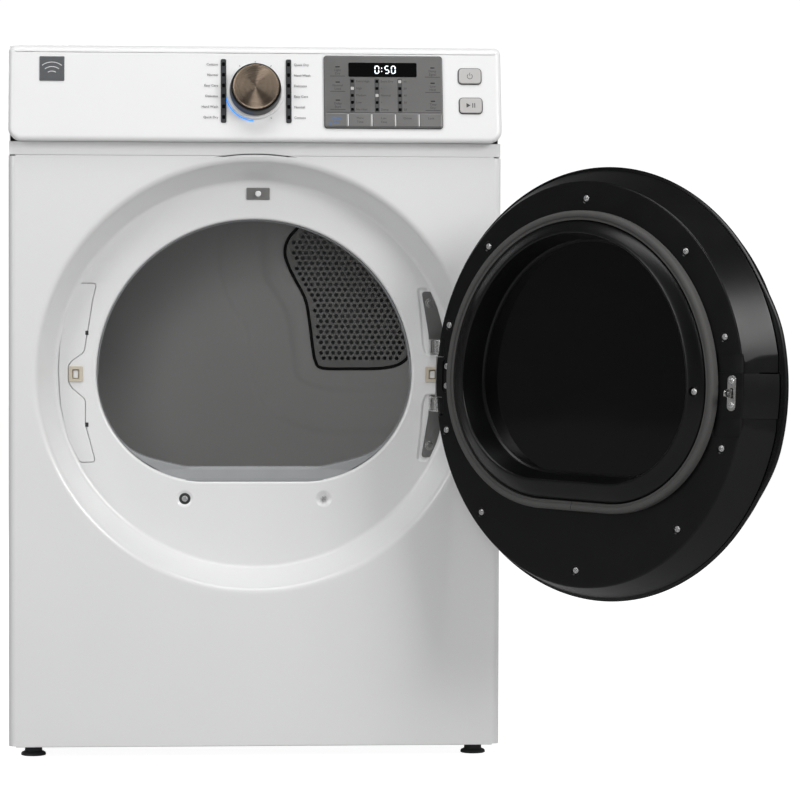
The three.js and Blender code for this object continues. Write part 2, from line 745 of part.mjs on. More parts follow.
function consoleFascia() {
  const topY = (cabinetHeight - stripTop) * Math.tan(consoleLean) - consoleNose;
  const profile = polygon([
    [consoleBackDepth, stripTop],
    [consoleBackDepth, cabinetHeight],
    [topY + 4, cabinetHeight],
    [topY + 0.5, cabinetHeight - 3],
    [2 - consoleNose, stripTop + 5],
    [4 - consoleNose, stripTop + 1],
    [9 - consoleNose, stripTop],
  ].toReversed());
  const inner = polygon([
    [consoleBackDepth + 1, stripTop + consoleWall],
    [consoleBackDepth + 1, cabinetHeight - consoleWall],
    [topY + 2 * consoleWall, cabinetHeight - consoleWall],
    [2 + 2 * consoleWall - consoleNose, stripTop + consoleWall],
  ].toReversed());
  const front = new THREE.Shape();
  const low = consoleLowerRadius;
  const high = consoleUpperRadius;
  front.absarc(halfWidth - low, stripTop + low, low, -Math.PI / 2, 0);
  front.absarc(halfWidth - high, cabinetHeight - high, high, 0, Math.PI / 2);
  front.absarc(high - halfWidth, cabinetHeight - high, high, Math.PI / 2, Math.PI);
  front.absarc(low - halfWidth, stripTop + low, low, Math.PI, 1.5 * Math.PI);
  const rounded = common(
    pullAcross(profile, -halfWidth, halfWidth),
    pullBack(front, -2 * consoleNose, consoleBackDepth + 1, 10),
  );
  const shell = cut(rounded, pullAcross(inner, -halfWidth + 4, halfWidth - 4));
  const collar = onConsole(rodOnFace(knobCentre, knobCollarRadius, -1, knobCollarHeight, knobSides));
  const through = -3 * consoleWall;
  const windows = [
    plateOnFace(overlayCentre, grow(overlaySize, -8), 2, through, 5),
    plateOnFace([overlayCentre[0], keyRow], [keyCount * keyPitch - 2, keySize[1] + 1.2], 0.5, through, 5),
    plateOnFace(powerCentre, grow(buttonSize, buttonClearance), buttonRadius, through, 5),
    plateOnFace(startCentre, grow(buttonSize, buttonClearance), buttonRadius, through, 5),
    rodOnFace(knobCentre, knobShaftRadius + 1, through, knobCollarHeight + 5),
  ];
  return cut(join(shell, collar), ...windows.map(onConsole));
}

function keyPlace(index) {
  return [overlayCentre[0] + (index - (keyCount - 1) / 2) * keyPitch, keyRow];
}

function overlayPanel() {
  const back = gap;
  const front = gap + overlayThickness;
  const sheetBody = plateOnFace(overlayCentre, overlaySize, 5, back, front);
  const displayRoom = plateOnFace(displayCentre, grow(displaySize, gap), 1.5, 0, front + 1);
  const keyRooms = [];
  const keyRoomSize = grow(keySize, gap);
  for (let i = 0; i < keyCount; i++) keyRooms.push(plateOnFace(keyPlace(i), keyRoomSize, 2, 0, front + 1));
  return cut(sheetBody, displayRoom, ...keyRooms);
}

function knob() {
  const back = knobCollarHeight + 1;
  const outline = [
    [0, back + 1],
    [knobRingRadius, back + 1],
    [knobRingRadius, back + 9],
    [knobRingRadius - 1.5, back + 11],
    [knobCapRadius, back + 12],
    [knobCapRadius, knobHeight - 3],
    [knobCapRadius - 3, knobHeight],
    [knobCapRadius - 6, knobHeight],
    [0, knobHeight - 2],
  ];
  const body = new THREE.LatheGeometry(outline.map(([radius, y]) => new THREE.Vector2(radius, y)), knobSides);
  const shaft = rodAlongZ(0, 0, knobShaftRadius, -8, back + 3);
  return join(body.rotateX(Math.PI / 2), shaft);
}

// ---- Drum, bulkheads and air path -----------------------------------------------------------------

function roundRing(outer, inner, y0, y1, sides = ringSides) {
  return turned([[inner, y0], [outer, y0], [outer, y1], [inner, y1]], sides);
}

function bulkheadPlate(y) {
  const shape = rectangle(
    0, (bulkheadLow + bulkheadHigh) / 2, 2 * bulkheadHalfWidth, bulkheadHigh - bulkheadLow, bulkheadRadius,
  );
  return pullBack(shape, y, y + sheet, 8);
}

// The opening's collar and lip, the plate behind them, and the ring and two glides the drum turns on.
function frontBulkhead() {
  const plate = bulkheadPlate(frontBulkheadFace);
  const ringBack = drumFront + flangeReach;
  const ring = roundRing(flangeRadius, flangeRadius - flangeWall, frontBulkheadFace, ringBack);
  const start = shelfDepth + sheet + gap;
  const end = frontBulkheadFace + 2;
  const inner = loadingOutline(openingRadius + 1, openingDrop + 1);
  const outer = loadingOutline(openingRadius + 1 + collarWall, openingDrop + 1 + collarWall);
  const collar = pullBack(outer, start, end).translate(0, 0, ringHeight);
  const lip = common(
    pullAcross(
      polygon([
        [start, -openingDrop - 3],
        [end, -openingDrop - 3],
        [end, -lipDrop],
        [lipFront + lipBevel[0], -lipDrop],
        [lipFront, -lipDrop - lipBevel[1]],
        [lipFront - 5, -openingDrop + 1],
        [start, -openingDrop + 1],
      ]),
      -openingRadius, openingRadius,
    ),
    pullBack(loadingOutline(openingRadius + 3, openingDrop + 3), start, end),
  );
  const doorway = pullBack(inner, start - 1, end + 1).translate(0, 0, ringHeight);
  const shell = cut(join(plate, ring.translate(0, 0, drumHeight), collar), doorway);
  const glideRadius = drumRadius - drumWall - glideClearance;
  const glides = [-1, 1].map((side) => {
    const root = flangeWall - 0.5 - flangeRadius;
    const pad = box(-glideHalfWidth, glideHalfWidth, drumFront + 4, ringBack - 4, -glideRadius, root);
    const round = rodAlongY(0, 0, glideRadius, drumFront, ringBack, ringSides);
    return common(pad.rotateY(side * glideAngle), round).translate(0, 0, drumHeight);
  });
  const roomHalf = filterHalfWidth + filterClearance;
  const roomDepth = filterThickness / 2 + filterClearance;
  const filterRoom = box(
    -roomHalf, roomHalf, filterCentreY - roomDepth, filterCentreY + roomDepth,
    ringHeight - openingDrop - 12, ringHeight,
  );
  return cut(join(shell, lip.translate(0, 0, ringHeight), ...glides), filterRoom);
}

function lintFilter() {
  const half = filterHalfWidth;
  const front = filterCentreY - filterThickness / 2;
  const back = filterCentreY + filterThickness / 2;
  const high = ringHeight - lipDrop - 1;
  const low = high - filterDrop;
  const frame = box(-half, half, front, back, low, high);
  const windows = [];
  const columns = 3;
  const columnWidth = (2 * half - filterFrame * (columns + 1)) / columns;
  for (let i = 0; i < columns; i++) {
    const x = -half + filterFrame + i * (columnWidth + filterFrame);
    windows.push(box(x, x + columnWidth, front - 1, front + 3, low + filterFrame, high - 34));
    windows.push(box(x, x + columnWidth, back - 3, back + 1, low + filterFrame, high - 34));
  }
  const grip = pullUp(rectangle(0, filterCentreY, half, filterThickness - 4, 2.9), high - 14, high + 1, 6);
  return cut(frame, ...windows, grip);
}

function lintDuct() {
  const front = shelfDepth + sheet + 1;
  const back = frontBulkheadFace - gap;
  const low = shaftHeight - blowerRadius + 4;
  const high = ringHeight - openingDrop - collarWall - 2;
  const left = Math.min(-ductHalfWidth, shaftX - blowerInletRadius - 8);
  const wall = ductWall;
  const outer = box(left, ductHalfWidth, front, back, low, high);
  const inner = box(left + wall, ductHalfWidth - wall, front + wall, back - wall, low + wall, high + 1);
  const mouth = rodAlongY(shaftX, shaftHeight, blowerInletRadius, back - 5, back + 5, smallSides);
  return cut(outer, inner, mouth);
}

function drum() {
  const inner = drumRadius - drumWall;
  const bead = [[0, 0], [drumBead, 6], [drumBead, 14], [0, 20]];
  const outside = bead.map(([depth, y]) => [drumRadius - depth, drumBeadStart + y]);
  const inside = bead.map(([depth, y]) => [inner - depth, drumBeadStart + y]);
  return turned([
    [drumRadius, drumFront],
    ...outside,
    [drumRadius, drumBack],
    [inner, drumBack],
    ...inside.toReversed(),
    [inner, drumFront],
  ]);
}

// A lifting vane along the drum's wall, drawn at its lowest line.
function baffle() {
  const top = baffleHeight;
  const shape = new THREE.Shape();
  shape.moveTo(-baffleFoot / 2, -8);
  shape.lineTo(baffleFoot / 2, -8);
  shape.quadraticCurveTo(baffleTip + 3, 6, baffleTip, top - 8);
  shape.absarc(0, top - baffleTip, baffleTip, 0.2, Math.PI - 0.2);
  shape.quadraticCurveTo(-baffleTip - 3, 6, -baffleFoot / 2, -8);
  const vane = pullBack(shape, baffleFront, baffleBack, 5).translate(0, 0, drumWall - drumRadius);
  const inside = rodAlongY(0, 0, drumRadius - drumWall - 2 - gap, baffleFront - 1, baffleBack + 1, ringSides);
  return common(vane, inside);
}

// The outline of the air grille on the drum's back wall, about the drum's axis.
function grilleOutline(margin) {
  const inner = grilleReach[0] - margin;
  const outer = grilleReach[1] + margin;
  const start = THREE.MathUtils.degToRad(grilleTurn[0]) - margin / 200;
  const end = THREE.MathUtils.degToRad(grilleTurn[1]) + margin / 200;
  const shape = new THREE.Shape();
  shape.absarc(0, 0, outer, start, end);
  shape.absarc(0, 0, inner, end, start, true);
  return shape;
}

function rearBulkhead() {
  const plate = bulkheadPlate(rearBulkheadFace);
  const ringFront = drumBack - flangeReach;
  const ring = roundRing(flangeRadius, flangeRadius - flangeWall, ringFront, rearBulkheadFace + 1);
  const air = pullBack(grilleOutline(-grilleBorder / 2), rearBulkheadFace - 5, rearBulkheadFace + 5);
  ring.translate(0, 0, drumHeight);
  const axles = rollerPlaces().map(([x, z]) =>
    rodAlongY(x, z, axleRadius, rollerY - 4, rearBulkheadFace + sheet / 2, 12),
  );
  return cut(join(plate, ring, ...axles), air.translate(0, 0, drumHeight));
}

function airGrille() {
  const front = rearBulkheadFace - gap - grilleThickness;
  const plate = pullBack(grilleOutline(0), front, front + grilleThickness);
  const holes = [];
  const clear = grilleBorder + grilleHoleRadius;
  const rowPitch = grilleHolePitch * Math.sin(Math.PI / 3);
  for (let row = -10; row <= 10; row++)
    for (let column = 0; column <= 10; column++) {
      const x = (column + (row % 2 ? 0.5 : 0)) * grilleHolePitch;
      const z = row * rowPitch;
      const radius = Math.hypot(x, z);
      const turn = THREE.MathUtils.radToDeg(Math.atan2(z, x));
      const sideMargin = THREE.MathUtils.radToDeg(clear / Math.max(radius, 1));
      if (radius < grilleReach[0] + clear || radius > grilleReach[1] - clear) continue;
      if (turn < grilleTurn[0] + sideMargin || turn > grilleTurn[1] - sideMargin) continue;
      holes.push(rodAlongY(x, z, grilleHoleRadius, front - 1, front + grilleThickness + 1, 6));
    }
  return cut(plate, ...holes);
}

function heaterBox() {
  const wall = sheet;
  const front = rearBulkheadFace + sheet + gap;
  const back = rearFace - heaterSetback;
  const [x, rise] = heaterCentre;
  const [width, height] = heaterSize;
  const shape = (margin) => rectangle(x, drumHeight + rise, width - margin, height - margin, heaterRadius);
  return cut(pullBack(shape(0), front, back, 8), pullBack(shape(2 * wall), front - 1, back - wall, 8));
}

function rollerPlaces() {
  const reach = drumRadius + gap + rollerRadius;
  return [-1, 1].map((side) => [
    side * reach * Math.sin(rollerAngle),
    drumHeight - reach * Math.cos(rollerAngle),
  ]);
}

function roller() {
  return roundRing(rollerRadius, axleRadius + axleClearance, 0, rollerWidth, smallSides);
}

// ---- Motor, blower and belt -----------------------------------------------------------------------

function motor() {
  const bell = 10;
  const outline = [
    [0, 0],
    [motorRadius - bell, 0],
    [motorRadius, bell],
    [motorRadius, motorLength - bell],
    [motorRadius - bell, motorLength],
    [0, motorLength],
  ];
  return new THREE.LatheGeometry(outline.map(([radius, y]) => new THREE.Vector2(radius, y)), motorSides);
}

function motorPulley() {
  const start = motorFront + motorLength + gap;
  const shaft = rodAlongY(0, 0, 6, start, beltY + beltWidth, 12);
  const groove = rodAlongY(0, 0, pulleyRadius - gap, beltY - beltWidth, beltY + beltWidth);
  const rims = [beltY - beltWidth, beltY + beltWidth / 2 + 2].map((y) =>
    rodAlongY(0, 0, pulleyRadius + 3, y, y + 2),
  );
  return join(shaft, groove, ...rims);
}

function idlerPulley() {
  const bore = axleRadius - 2 + axleClearance;
  const groove = roundRing(idlerRadius - gap, bore, beltY - beltWidth, beltY + beltWidth, smallSides);
  const rims = [beltY - beltWidth, beltY + beltWidth / 2 + 2].map((y) =>
    roundRing(idlerRadius + 3, axleRadius, y, y + 2, smallSides),
  );
  return join(groove, ...rims);
}

// The tensioning arm, drawn about its pivot: a flat bar with a bore, and the pulley's axle at its end.
function idlerArm() {
  const x = idlerX - idlerPivotX;
  const z = idlerHeight - idlerPivotHeight;
  const bar = pullBack(loopRound([[0, 0, 9], [x, z, 9]]), idlerArmY, idlerArmY + idlerArmThickness, 10);
  const axle = rodAlongY(x, z, axleRadius - 2, idlerArmY + 1, beltY + beltWidth, 12);
  const bore = rodAlongY(
    0, 0, hingePinRadius + axleClearance, idlerArmY - 1, idlerArmY + idlerArmThickness + 1, 12,
  );
  return cut(join(bar, axle), bore);
}

function drumBelt() {
  const loop = (offset) =>
    loopRound([
      [shaftX, shaftHeight, pulleyRadius + offset],
      [idlerX, idlerHeight, idlerRadius + offset],
      [0, drumHeight, drumRadius + offset],
    ]);
  return cut(
    pullBack(loop(beltClearance + beltThickness), beltY - beltWidth / 2, beltY + beltWidth / 2, beltSides),
    pullBack(loop(beltClearance), beltY - beltWidth, beltY + beltWidth, beltSides),
  );
}

function blowerHousing() {
  const back = blowerFront + blowerDepth;
  const wall = ductWall;
  const low = shaftHeight - blowerRadius;
  const outletHigh = exhaustHeight + exhaustRadius - 4;
  const outletRight = exhaustX + exhaustRadius + 4;
  const outer = join(
    rodAlongY(shaftX, shaftHeight, blowerRadius, blowerFront, back, motorSides),
    box(shaftX, outletRight, blowerFront, back, low, outletHigh),
  );
  const inner = join(
    rodAlongY(shaftX, shaftHeight, blowerRadius - wall, blowerFront + wall, back - wall, motorSides),
    box(shaftX, outletRight - wall, blowerFront + wall, back - wall, low + wall, outletHigh - wall),
  );
  const inlet = rodAlongY(shaftX, shaftHeight, blowerInletRadius, blowerFront - 1, blowerFront + 5);
  const outletRadius = exhaustRadius - exhaustWall - 6;
  const outlet = rodAlongY(exhaustX, exhaustHeight, outletRadius, back - 5, back + 1, smallSides);
  const shaftHole = rodAlongY(shaftX, shaftHeight, 12, back - 5, back + 1);
  return cut(outer, inner, inlet, outlet, shaftHole);
}

function blowerWheel() {
  const front = blowerFront + ductWall + 6;
  const back = blowerFront + blowerDepth - ductWall - 4;
  const disc = rodAlongY(0, 0, blowerWheelRadius, back - 3, back, motorSides);
  const hub = rodAlongY(0, 0, 14, front + 12, back);
  const shaft = rodAlongY(0, 0, 6, back - 4, motorFront - gap, 12);
  const blades = [];
  for (let i = 0; i < bladeCount; i++) {
    const blade = box(blowerInletRadius - 8, blowerWheelRadius - 1, front, back - 1, -1.2, 1.2);
    blades.push(blade.rotateY((i / bladeCount) * 2 * Math.PI));
  }
  const hoop = roundRing(blowerWheelRadius, blowerWheelRadius - 6, front, front + 2, motorSides);
  return join(disc, hub, shaft, hoop, ...blades);
}

function exhaustDuct() {
  const start = blowerFront + blowerDepth + gap;
  const end = cabinetDepth + exhaustReach;
  return roundRing(exhaustRadius, exhaustRadius - exhaustWall, start, end, exhaustSides);
}

// ---- Door, drawn shut about the centre of its ring -------------------------------------------------

// Room for the hinge arms as the door swings round them.
function armRooms(x0, y0, y1) {
  return [-1, 1].map((side) => {
    const ends = [side * (armLow - armClearance), side * (armHigh + armClearance)].sort((a, b) => a - b);
    return box(x0, bezelRadius + 20, y0, y1, ...ends);
  });
}

function doorPlate() {
  const edge = plateRounding;
  const shell = turned([
    [bowlDrop - 20, plateFace - doorWall],
    [plateRadius - edge - 1, plateFace - doorWall],
    [rimRadius - doorWall, rimFace],
    [rimRadius, rimFace],
    [plateRadius + 1, plateFace - edge],
    [plateRadius - edge + 2, plateFace - 1],
    [plateRadius - edge - 2, plateFace],
    [bowlDrop - 20, plateFace],
  ]);
  const windowRoom = pullBack(
    loadingOutline(bowlRadius - 2 + gap, bowlDrop - 2 + gap), plateFace - 2 * doorWall, plateFace + 1,
  );
  const furthestBend = Math.max(...armBends.map(([inward]) => inward));
  const notchStart = hingeX - furthestBend - armThickness - armClearance;
  return cut(shell, windowRoom, ...armRooms(notchStart, rimFace - 1, plateFace + 1));
}

// The window's frame: a flared rim on the inner plate, and a sleeve that holds the glass behind it.
function doorBowl() {
  const flared = new THREE.ExtrudeGeometry(loadingOutline(bowlRadius, bowlDrop), {
    depth: 1,
    bevelThickness: bowlDepth,
    bevelSize: bowlFlare,
    bevelSegments: 1,
    curveSegments: arcSides,
  });
  const seat = plateFace + gap;
  const rim = plateFace + bowlDepth;
  // The extrusion's waist, its widest place, is brought level with the plate, and its front half cut off.
  flared.rotateX(Math.PI / 2).translate(0, rim - bowlDepth, 0);
  const half = cut(flared, box(-300, 300, -200, seat, -300, 300));
  const glassBack = rim - windowSetback - windowThickness - 4;
  const sleeve = pullBack(loadingOutline(bowlRadius - 2, bowlDrop - 2), glassBack, seat + 1);
  const seatBack = rim - windowSetback - windowThickness - gap;
  const clear = pullBack(loadingOutline(bowlRadius - bowlWall, bowlDrop - bowlWall), seatBack, rim + 1);
  const ledge = bowlWall + 8;
  const light = pullBack(loadingOutline(bowlRadius - ledge, bowlDrop - ledge), glassBack - 1, rim);
  return cut(join(half, sleeve), clear, light);
}

function doorWindow() {
  const back = plateFace + bowlDepth - windowSetback;
  const margin = bowlWall + gap;
  return pullBack(loadingOutline(bowlRadius - margin, bowlDrop - margin), back - windowThickness, back);
}

function doorSeal() {
  const ends = [plateFace + gap, shelfDepth - gap];
  return cut(
    pullBack(loadingOutline(sealRadius, sealDrop), ...ends),
    pullBack(loadingOutline(sealRadius - sealWidth, sealDrop - sealWidth), ends[0] - 1, ends[1] + 1),
  );
}

function bezelOutline(inset) {
  const cornerX = pullCornerRadius - pullReach;
  const cornerZ = pullHalfHeight - pullCornerRadius;
  return loopRound([
    [0, 0, bezelRadius - inset],
    [cornerX, cornerZ, pullCornerRadius - inset],
    [cornerX, -cornerZ, pullCornerRadius - inset],
  ]);
}

// The outer bezel: a shell with a rounded front edge, a grip on the free side and a seat for the glass.
function doorBezel() {
  const sideEnd = bezelFront + bezelRounding;
  const rounded = new THREE.ExtrudeGeometry(bezelOutline(0), {
    depth: bezelBack - sideEnd - 1,
    bevelThickness: bezelRounding,
    bevelSize: bezelTaper,
    bevelOffset: -bezelTaper,
    bevelSegments: 2,
    curveSegments: arcSides,
  });
  rounded.rotateX(Math.PI / 2).translate(0, bezelBack - 1, 0);
  const back = pullBack(bezelOutline(0), sideEnd + 1, bezelBack);
  const body = cut(join(rounded, back), box(-400, 400, bezelBack, bezelBack + 2 * bezelRounding, -400, 400));
  const seatWall = doorGlassThickness + doorWall;
  const cavity = pullBack(bezelOutline(doorWall), sideEnd, bezelBack + 1);
  const frontCavity = pullBack(bezelOutline(bezelTaper + doorWall), bezelFront + seatWall, bezelBack);
  const glassBack = bezelFront + doorGlassThickness + gap;
  const glassRoom = rodAlongY(0, 0, doorGlassRadius + gap, bezelFront - 1, glassBack, ringSides);
  const hole = rodAlongY(0, 0, doorGlassRadius - 10, bezelFront - 1, bezelFront + seatWall + 2, ringSides);
  const notches = armRooms(bezelRadius - 30, hingeY - 10, bezelBack + 1);
  return cut(body, cavity, frontCavity, glassRoom, hole, ...notches);
}

function doorGlass() {
  const front = bezelFront;
  const dome = doorGlassDome;
  const outline = [[0, front - dome]];
  for (let step = 1; step <= 3; step++) {
    const share = step / 3;
    outline.push([share * (doorGlassRadius - 1), front - dome * (1 - share * share)]);
  }
  outline.push([doorGlassRadius, front + 1], [doorGlassRadius, front + doorGlassThickness]);
  outline.push([0, front + doorGlassThickness]);
  return new THREE.LatheGeometry(outline.map(([radius, y]) => new THREE.Vector2(radius, y)), ringSides);
}

// The door's half of the hinge: a plate behind the inner plate, a web and a barrel on the hinge line.
function hingeLeaf() {
  const face = plateFace - doorWall - gap;
  const half = barrelHalfLength;
  const [inner, outer] = leafPlate.map((inward) => hingeX - inward);
  const plate = box(inner, outer, face - 4, face, -half, half);
  const web = box(outer - leafEdge, outer, hingeY, face - 1, -half, half);
  const foot = box(outer - leafEdge, hingeX, hingeY - leafEdge / 2, hingeY + leafEdge / 2, -half, half);
  const barrel = leanedAboutHinge(rodAlongZ(hingeX, hingeY, barrelRadius, -half - 1, half + 1));
  const boreRadius = hingePinRadius + hingePinClearance;
  const bore = leanedAboutHinge(rodAlongZ(hingeX, hingeY, boreRadius, -half - 3, half + 3, 12));
  const trim = [-1, 1].map((side) => {
    const ends = [side * half, side * (half + 30)].sort((a, b) => a - b);
    return box(hingeX - 32, hingeX + 28, hingeY - 38, face + 8, ...ends);
  });
  return cut(join(plate, web, foot, barrel), bore, ...trim);
}

function latchStriker() {
  const back = plateFace + gap;
  const outline = rectangle(latchX, 0, strikerWidth, strikerHeight, strikerWidth / 2 - 0.1);
  const plate = pullBack(outline, back, back + 2, 8);
  const tongue = box(
    latchX - tongueWidth / 2, latchX + tongueWidth / 2, back + 1, back + tongueReach,
    -tongueHeight / 2, tongueHeight / 2,
  );
  return join(plate, tongue);
}

// ---- Assembly -----------------------------------------------------------------------------------

const dryer = new THREE.Group();

addPiece(dryer, "base_pan", basePan(), galvanised);
for (const [name, side] of [["left", -1], ["right", 1]]) {
  const panel = addPiece(dryer, `side_panel_${name}`, sidePanel(), paint);
  panel.scale.x = side;
}
addPiece(dryer, "rear_panel", rearPanel(), galvanised);
addPiece(dryer, "top_panel", topPanel(), paint);
addPiece(dryer, "front_panel", frontPanel(), paint);
addPiece(dryer, "front_strip", frontStrip(), paint);
addPiece(dryer, "terminal_cover", terminalCover(), darkPlastic);
const footNames = ["front_left", "rear_left", "front_right", "rear_right"];
footPlaces().forEach(([x, y], i) => {
  const piece = addPiece(dryer, `foot_${footNames[i]}`, foot(), darkPlastic);
  piece.position.set(x, y, 0);
});

const recessGroup = new THREE.Group();
recessGroup.position.z = ringHeight;
dryer.add(recessGroup);
addPiece(recessGroup, "door_switch", switchPlate(), whitePlastic);
addPiece(recessGroup, "switch_plunger", plunger(), whitePlastic);
addPiece(recessGroup, "latch_catch", catchBlock(latchX), ivory);
addPiece(recessGroup, "spare_catch", catchBlock(-latchX), ivory);
addPiece(recessGroup, "spare_hinge_cover", spareCover(), paint);
addPiece(recessGroup, "hinge_bracket_upper", hingeBracket(1), chrome);
addPiece(recessGroup, "hinge_bracket_lower", hingeBracket(-1), chrome);

addPiece(dryer, "console_fascia", consoleFascia(), whitePlastic);
const consoleFace = new THREE.Group();
consoleFace.applyMatrix4(consolePlace);
dryer.add(consoleFace);
addPiece(consoleFace, "overlay_panel", overlayPanel(), silverFilm);
const lens = plateOnFace(displayCentre, displaySize, 1, gap, gap + overlayThickness);
addPiece(consoleFace, "display_lens", lens, darkGlass);
for (const [name, side] of [["left", -1], ["right", 1]]) {
  const place = [side * ledOffset, ledCentreHeight];
  const strip = plateOnFace(place, ledSize, 2, gap, gap + insertThickness);
  addPiece(consoleFace, `light_strip_${name}`, strip, darkPlastic);
}
for (const [name, place] of [["power_button", powerCentre], ["start_button", startCentre]]) {
  const button = plateOnFace([0, 0], buttonSize, buttonRadius - 0.5, buttonProud - buttonDepth, buttonProud);
  addPiece(consoleFace, name, button, silverFilm).position.set(...place, 0);
}
for (let i = 0; i < keyCount; i++) {
  const front = gap + overlayThickness + keyProud;
  const key = plateOnFace([0, 0], keySize, 1.5, front - keyDepth, front);
  addPiece(consoleFace, `key_${i + 1}`, key, silverFilm).position.set(...keyPlace(i), 0);
}
addPiece(consoleFace, "knob", knob(), bronze).position.set(...knobCentre, 0);

addPiece(dryer, "front_bulkhead", frontBulkhead(), warmGrey);
addPiece(dryer, "rear_bulkhead", rearBulkhead(), warmGrey);
addPiece(dryer, "lint_duct", lintDuct(), darkPlastic);
addPiece(dryer, "lint_filter", lintFilter(), darkPlastic);
addPiece(dryer, "heater_box", heaterBox(), galvanised);
const drumGroup = new THREE.Group();
drumGroup.position.z = drumHeight;
dryer.add(drumGroup);
addPiece(drumGroup, "drum", drum(), galvanised);
addPiece(drumGroup, "air_grille", airGrille(), darkPlastic);
for (let i = 0; i < baffleCount; i++) {
  const vane = addPiece(drumGroup, `baffle_${i + 1}`, baffle(), warmGrey);
  vane.rotation.y = baffleTurn + (i / baffleCount) * 2 * Math.PI;
}
rollerPlaces().forEach(([x, z], i) => {
  addPiece(dryer, `roller_${["left", "right"][i]}`, roller(), greyRubber).position.set(x, rollerY, z);
});

addPiece(dryer, "motor", motor(), galvanised).position.set(shaftX, motorFront, shaftHeight);
addPiece(dryer, "motor_pulley", motorPulley(), galvanised).position.set(shaftX, 0, shaftHeight);
addPiece(dryer, "blower_wheel", blowerWheel(), darkPlastic).position.set(shaftX, 0, shaftHeight);
addPiece(dryer, "blower_housing", blowerHousing(), galvanised);
addPiece(dryer, "exhaust_duct", exhaustDuct(), galvanised).position.set(exhaustX, 0, exhaustHeight);
addPiece(dryer, "idler_arm", idlerArm(), galvanised).position.set(idlerPivotX, 0, idlerPivotHeight);
addPiece(dryer, "idler_pulley", idlerPulley(), darkPlastic).position.set(idlerX, 0, idlerHeight);
addPiece(dryer, "drum_belt", drumBelt(), greyRubber);

const hinge = new THREE.Group();
hinge.position.set(hingeX, hingeY, ringHeight);
const hingeLine = new THREE.Vector3(Math.sin(hingeLean), 0, Math.cos(hingeLean));
hinge.quaternion.setFromAxisAngle(hingeLine, doorOpenAngle);
dryer.add(hinge);
const door = new THREE.Group();
door.position.set(-hingeX, -hingeY, 0);
hinge.add(door);
addPiece(door, "door_plate", doorPlate(), blackPlastic);
addPiece(door, "door_bowl", doorBowl(), blackPlastic);
addPiece(door, "door_window", doorWindow(), darkGlass);
addPiece(door, "door_seal", doorSeal(), greyRubber);
addPiece(door, "door_bezel", doorBezel(), blackPlastic);
addPiece(door, "door_glass", doorGlass(), darkGlass);
addPiece(door, "hinge_leaf", hingeLeaf(), zinc);
addPiece(door, "latch_striker", latchStriker(), zinc);

// The origin goes under the middle of the whole object, open door included.
const bounds = new THREE.Box3().setFromObject(dryer, true);
const middle = bounds.getCenter(new THREE.Vector3());
dryer.position.set(-middle.x, -middle.y, -bounds.min.z);

export default dryer;
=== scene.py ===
# A front-loading clothes dryer with its door swung open: finished surfaces, seals, screws, printing and
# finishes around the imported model. Pieces are drawn in millimetres in the cabinet's own frame.
import json
import math

import bmesh
import bpy
from mathutils import Matrix, Vector
from mathutils.geometry import tessellate_polygon

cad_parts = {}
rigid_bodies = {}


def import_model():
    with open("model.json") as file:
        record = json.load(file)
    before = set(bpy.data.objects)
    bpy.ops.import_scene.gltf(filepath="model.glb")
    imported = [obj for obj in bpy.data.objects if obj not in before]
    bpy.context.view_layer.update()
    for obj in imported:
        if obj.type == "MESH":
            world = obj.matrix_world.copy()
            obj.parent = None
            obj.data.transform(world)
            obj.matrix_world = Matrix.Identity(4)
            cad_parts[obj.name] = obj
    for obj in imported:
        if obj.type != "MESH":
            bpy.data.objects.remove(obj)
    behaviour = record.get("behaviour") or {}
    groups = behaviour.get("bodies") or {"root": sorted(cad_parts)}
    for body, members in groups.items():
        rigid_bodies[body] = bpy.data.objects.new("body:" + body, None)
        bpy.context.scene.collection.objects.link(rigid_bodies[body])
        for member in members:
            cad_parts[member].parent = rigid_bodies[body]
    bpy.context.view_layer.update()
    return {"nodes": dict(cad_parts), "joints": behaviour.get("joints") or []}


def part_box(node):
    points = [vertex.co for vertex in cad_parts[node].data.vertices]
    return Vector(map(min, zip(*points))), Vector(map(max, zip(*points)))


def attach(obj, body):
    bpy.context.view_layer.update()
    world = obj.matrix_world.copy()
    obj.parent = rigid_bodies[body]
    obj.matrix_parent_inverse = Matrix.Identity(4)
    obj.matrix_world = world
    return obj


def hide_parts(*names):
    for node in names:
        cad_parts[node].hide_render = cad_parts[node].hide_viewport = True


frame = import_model()
mm = 0.001

joints = {joint["name"]: joint for joint in frame["joints"]}
panelLow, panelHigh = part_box("front_panel")


def shift(x, y, z):
    return Matrix.Translation(Vector((x, y, z)) * mm)


# x across from the cabinet's middle, y back from the front panel's face, z up from the floor
cabinetPlace = Matrix.Translation(((panelLow.x + panelHigh.x) / 2, panelLow.y, 0))
ringHeight = joints["door_hinge"]["pos_m"][2] / mm
ringPlace = cabinetPlace @ shift(0, 0, ringHeight)
drumPlace = cabinetPlace @ shift(0, 0, joints["drum_spin"]["pos_m"][2] / mm)

# the door is drawn shut and then swung out to where it rests
hingePoint = Matrix.Translation(joints["door_hinge"]["pos_m"])
openAngle = math.radians(-joints["door_hinge"]["range_deg"][0])
hingeTurn = Matrix.Rotation(openAngle, 4, joints["door_hinge"]["axis"])
doorPlace = hingePoint @ hingeTurn @ hingePoint.inverted() @ ringPlace

# the console's face: x to the right, y up the leaning face, z straight out of it
knobAxis = Vector(joints["knob_turn"]["axis"])
consoleTurn = Matrix((Vector((1, 0, 0)), knobAxis.cross(Vector((1, 0, 0))), knobAxis)).transposed().to_4x4()
knobPlace = Matrix.Translation(joints["knob_turn"]["pos_m"]) @ consoleTurn
knobCentre = (-1, 2.8)
consolePlace = knobPlace @ shift(-knobCentre[0], -knobCentre[1], 0)


def frontOf(outline, y):
    # an outline seen from the front, set at depth y
    return [(a, y, b) for a, b in outline]


